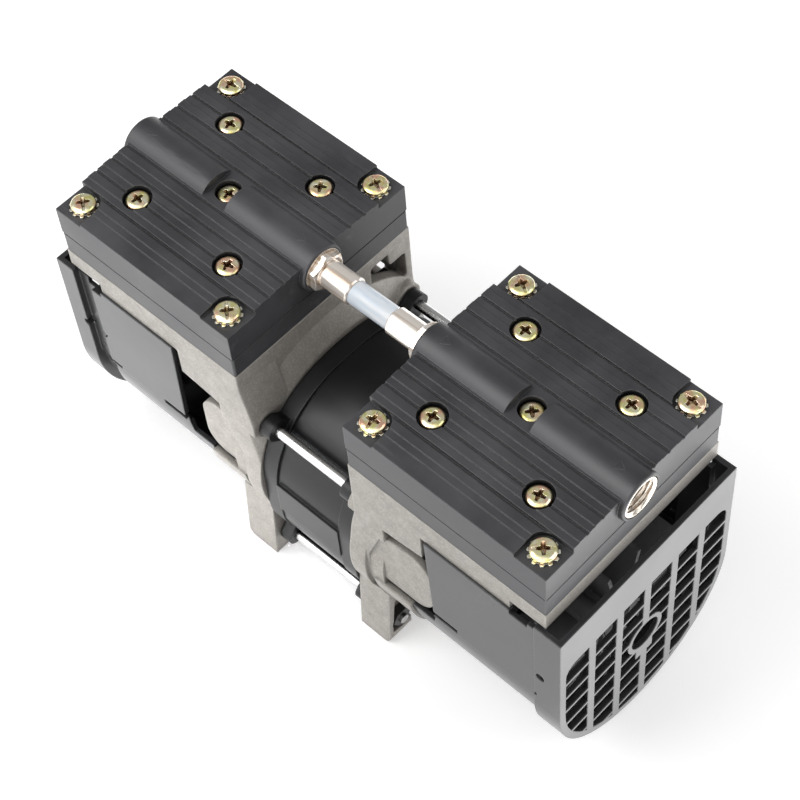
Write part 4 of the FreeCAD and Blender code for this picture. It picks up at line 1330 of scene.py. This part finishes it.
@dataclass(frozen=True)
class Eye:
    """Camera at the photograph's angle, in millimetres and degrees."""

    azimuth: float = 48.05
    elevation: float = 55.53
    roll: float = -5.99
    distance: float = 670.01
    target: Place = (12.27, -4.86, 86.94)
    lens: float = 95.21
    sensor: float = 36.0
    nearest: float = 0.01
    farthest: float = 50.0

    def turn(self) -> Matrix:
        """Give the camera's turn, with its back along the third row."""
        a, e = math.radians(self.azimuth), math.radians(self.elevation)
        back = Vector((math.sin(a) * math.cos(e), -math.cos(a) * math.cos(e), math.sin(e)))
        right = Vector((0, 0, 1)).cross(back).normalized()
        up = back.cross(right)
        roll = math.radians(self.roll)
        across = right * math.cos(roll) + up * math.sin(roll)
        above = up * math.cos(roll) - right * math.sin(roll)
        return Matrix((across, above, back))

    def build(self) -> None:
        """Make the camera."""
        data = bpy.data.cameras.new("Camera")
        data.lens = self.lens
        data.sensor_width = self.sensor
        data.clip_start = self.nearest
        data.clip_end = self.farthest
        made = add_object("Camera", data)
        turn = self.turn()
        place = (Vector(self.target) + turn[2] * self.distance) * MM
        made.matrix_world = Matrix.Translation(place) @ turn.transposed().to_4x4()
        bpy.context.scene.camera = made


@dataclass(frozen=True)
class Floor:
    """Floor that is white to the camera and takes the object's shadow.

    Its mirrored glow differs along the pump, as the photograph's light does.
    """

    half: float = 6.0
    below: float = 0.0002
    pale: Colour = (0.86, 0.86, 0.86)
    paler: Colour = (0.88, 0.88, 0.88)
    cloud_scale: float = 30.0
    cloud_part: Ramp = Ramp(0.3, 0.7)
    seen: float = 0.42
    mirrored: float = 0.64
    right: Ramp = Ramp(0.09, 0.14, 0.0, 1.60)
    left: Ramp = Ramp(-0.10, 0.0, 0.58, 0.0)

    def paint(self) -> Material:
        """Make the floor's material.

        Returns:
            The Blender material.
        """
        paint = bpy.data.materials.new("Pale floor")
        paint.use_nodes = True
        graph = Graph(paint.node_tree)
        matt = graph.node("ShaderNodeBsdfDiffuse")
        clouds = graph.span(graph.noise(graph.place(), self.cloud_scale), self.cloud_part)
        graph.link(graph.mix(clouds, colour4(self.pale), colour4(self.paler)), matt.inputs["Color"])
        path = graph.node("ShaderNodeLightPath")
        along = graph.along()
        ends = graph.math(Op.ADD, graph.span(along, self.right), graph.span(along, self.left))
        sheen = graph.math(Op.ADD, ends, self.mirrored)
        mirrored = graph.math(Op.MULTIPLY, path.outputs["Is Glossy Ray"], sheen)
        seen = graph.math(Op.MULTIPLY, graph.seen(path), self.seen)
        glow = graph.node("ShaderNodeEmission")
        graph.link(graph.math(Op.MAXIMUM, seen, mirrored), glow.inputs["Strength"])
        both = graph.node("ShaderNodeAddShader")
        graph.link(matt.outputs[0], both.inputs[0])
        graph.link(glow.outputs[0], both.inputs[1])
        graph.link(both.outputs[0], graph.node("ShaderNodeOutputMaterial").inputs[0])
        return paint

    def build(self) -> None:
        """Make the floor."""
        mesh = bmesh.new()
        ways = ((-1, -1), (1, -1), (1, 1), (-1, 1))
        mesh.faces.new([mesh.verts.new((x * self.half, y * self.half, -self.below)) for x, y in ways])
        made = make_piece("floor", mesh)
        made.data.materials.append(self.paint())


@dataclass(frozen=True)
class Sky:
    """Light from all round, white where it is seen and brighter in front where it is mirrored."""

    seen: float = 1.0
    mirrored: float = 0.38
    light: float = 0.5
    front_way: Place = (0.10, -0.86, 0.50)
    front: Ramp = Ramp(0.30, 0.95, 0.0, 2.1)

    def build(self) -> None:
        """Make the world."""
        made = bpy.data.worlds.new("Studio")
        bpy.context.scene.world = made
        made.use_nodes = True
        graph = Graph(made.node_tree)
        path = graph.node("ShaderNodeLightPath")
        seen = graph.seen(path)
        unseen = graph.math(Op.SUBTRACT, 1.0, seen)
        toward = graph.dot(graph.node("ShaderNodeTexCoord").outputs["Generated"], self.front_way)
        sheen = graph.math(Op.ADD, graph.span(toward, self.front), self.mirrored - self.light)
        mirrored = graph.math(Op.MULTIPLY, path.outputs["Is Glossy Ray"], sheen)
        around = graph.math(Op.MULTIPLY, unseen, graph.math(Op.ADD, self.light, mirrored))
        plain = graph.node("ShaderNodeBackground")
        plain.inputs["Color"].default_value = colour4(grey(1.0))
        strength = graph.math(Op.ADD, graph.math(Op.MULTIPLY, seen, self.seen), around)
        graph.link(strength, plain.inputs["Strength"])
        graph.link(plain.outputs[0], graph.node("ShaderNodeOutputWorld").inputs[0])


STUDIO = (
    Floor(),
    Sky(),
    Lamp("Key", (-0.5, -0.7, 1.1), 0.9, 9.0),
    Lamp("Fill", (0.9, 0.5, 0.9), 0.9, 4.0),
    Lamp("Low left", (-0.10, -0.50, 0.12), 0.06, 0.018, (-0.040, -0.040, 0.035), 18.0),
    Eye(),
)


def main() -> None:
    """Build the dressed pump piece by piece."""
    logging.basicConfig(level=logging.INFO, format="%(name)s: %(message)s")
    finishes = Finishes()
    finishes.dress_nodes()
    layout = HeadLayout()
    HeadFasteners(layout, finishes).build()
    for node in ("outlet_port_insert", "inlet_port_insert"):
        ThreadedInsert(node, finishes).build()
    BossMarks(layout, finishes).build()
    for part in STUDIO:
        part.build()
    bpy.context.scene.view_settings.view_transform = "Standard"


if __name__ == "__main__":
    main()
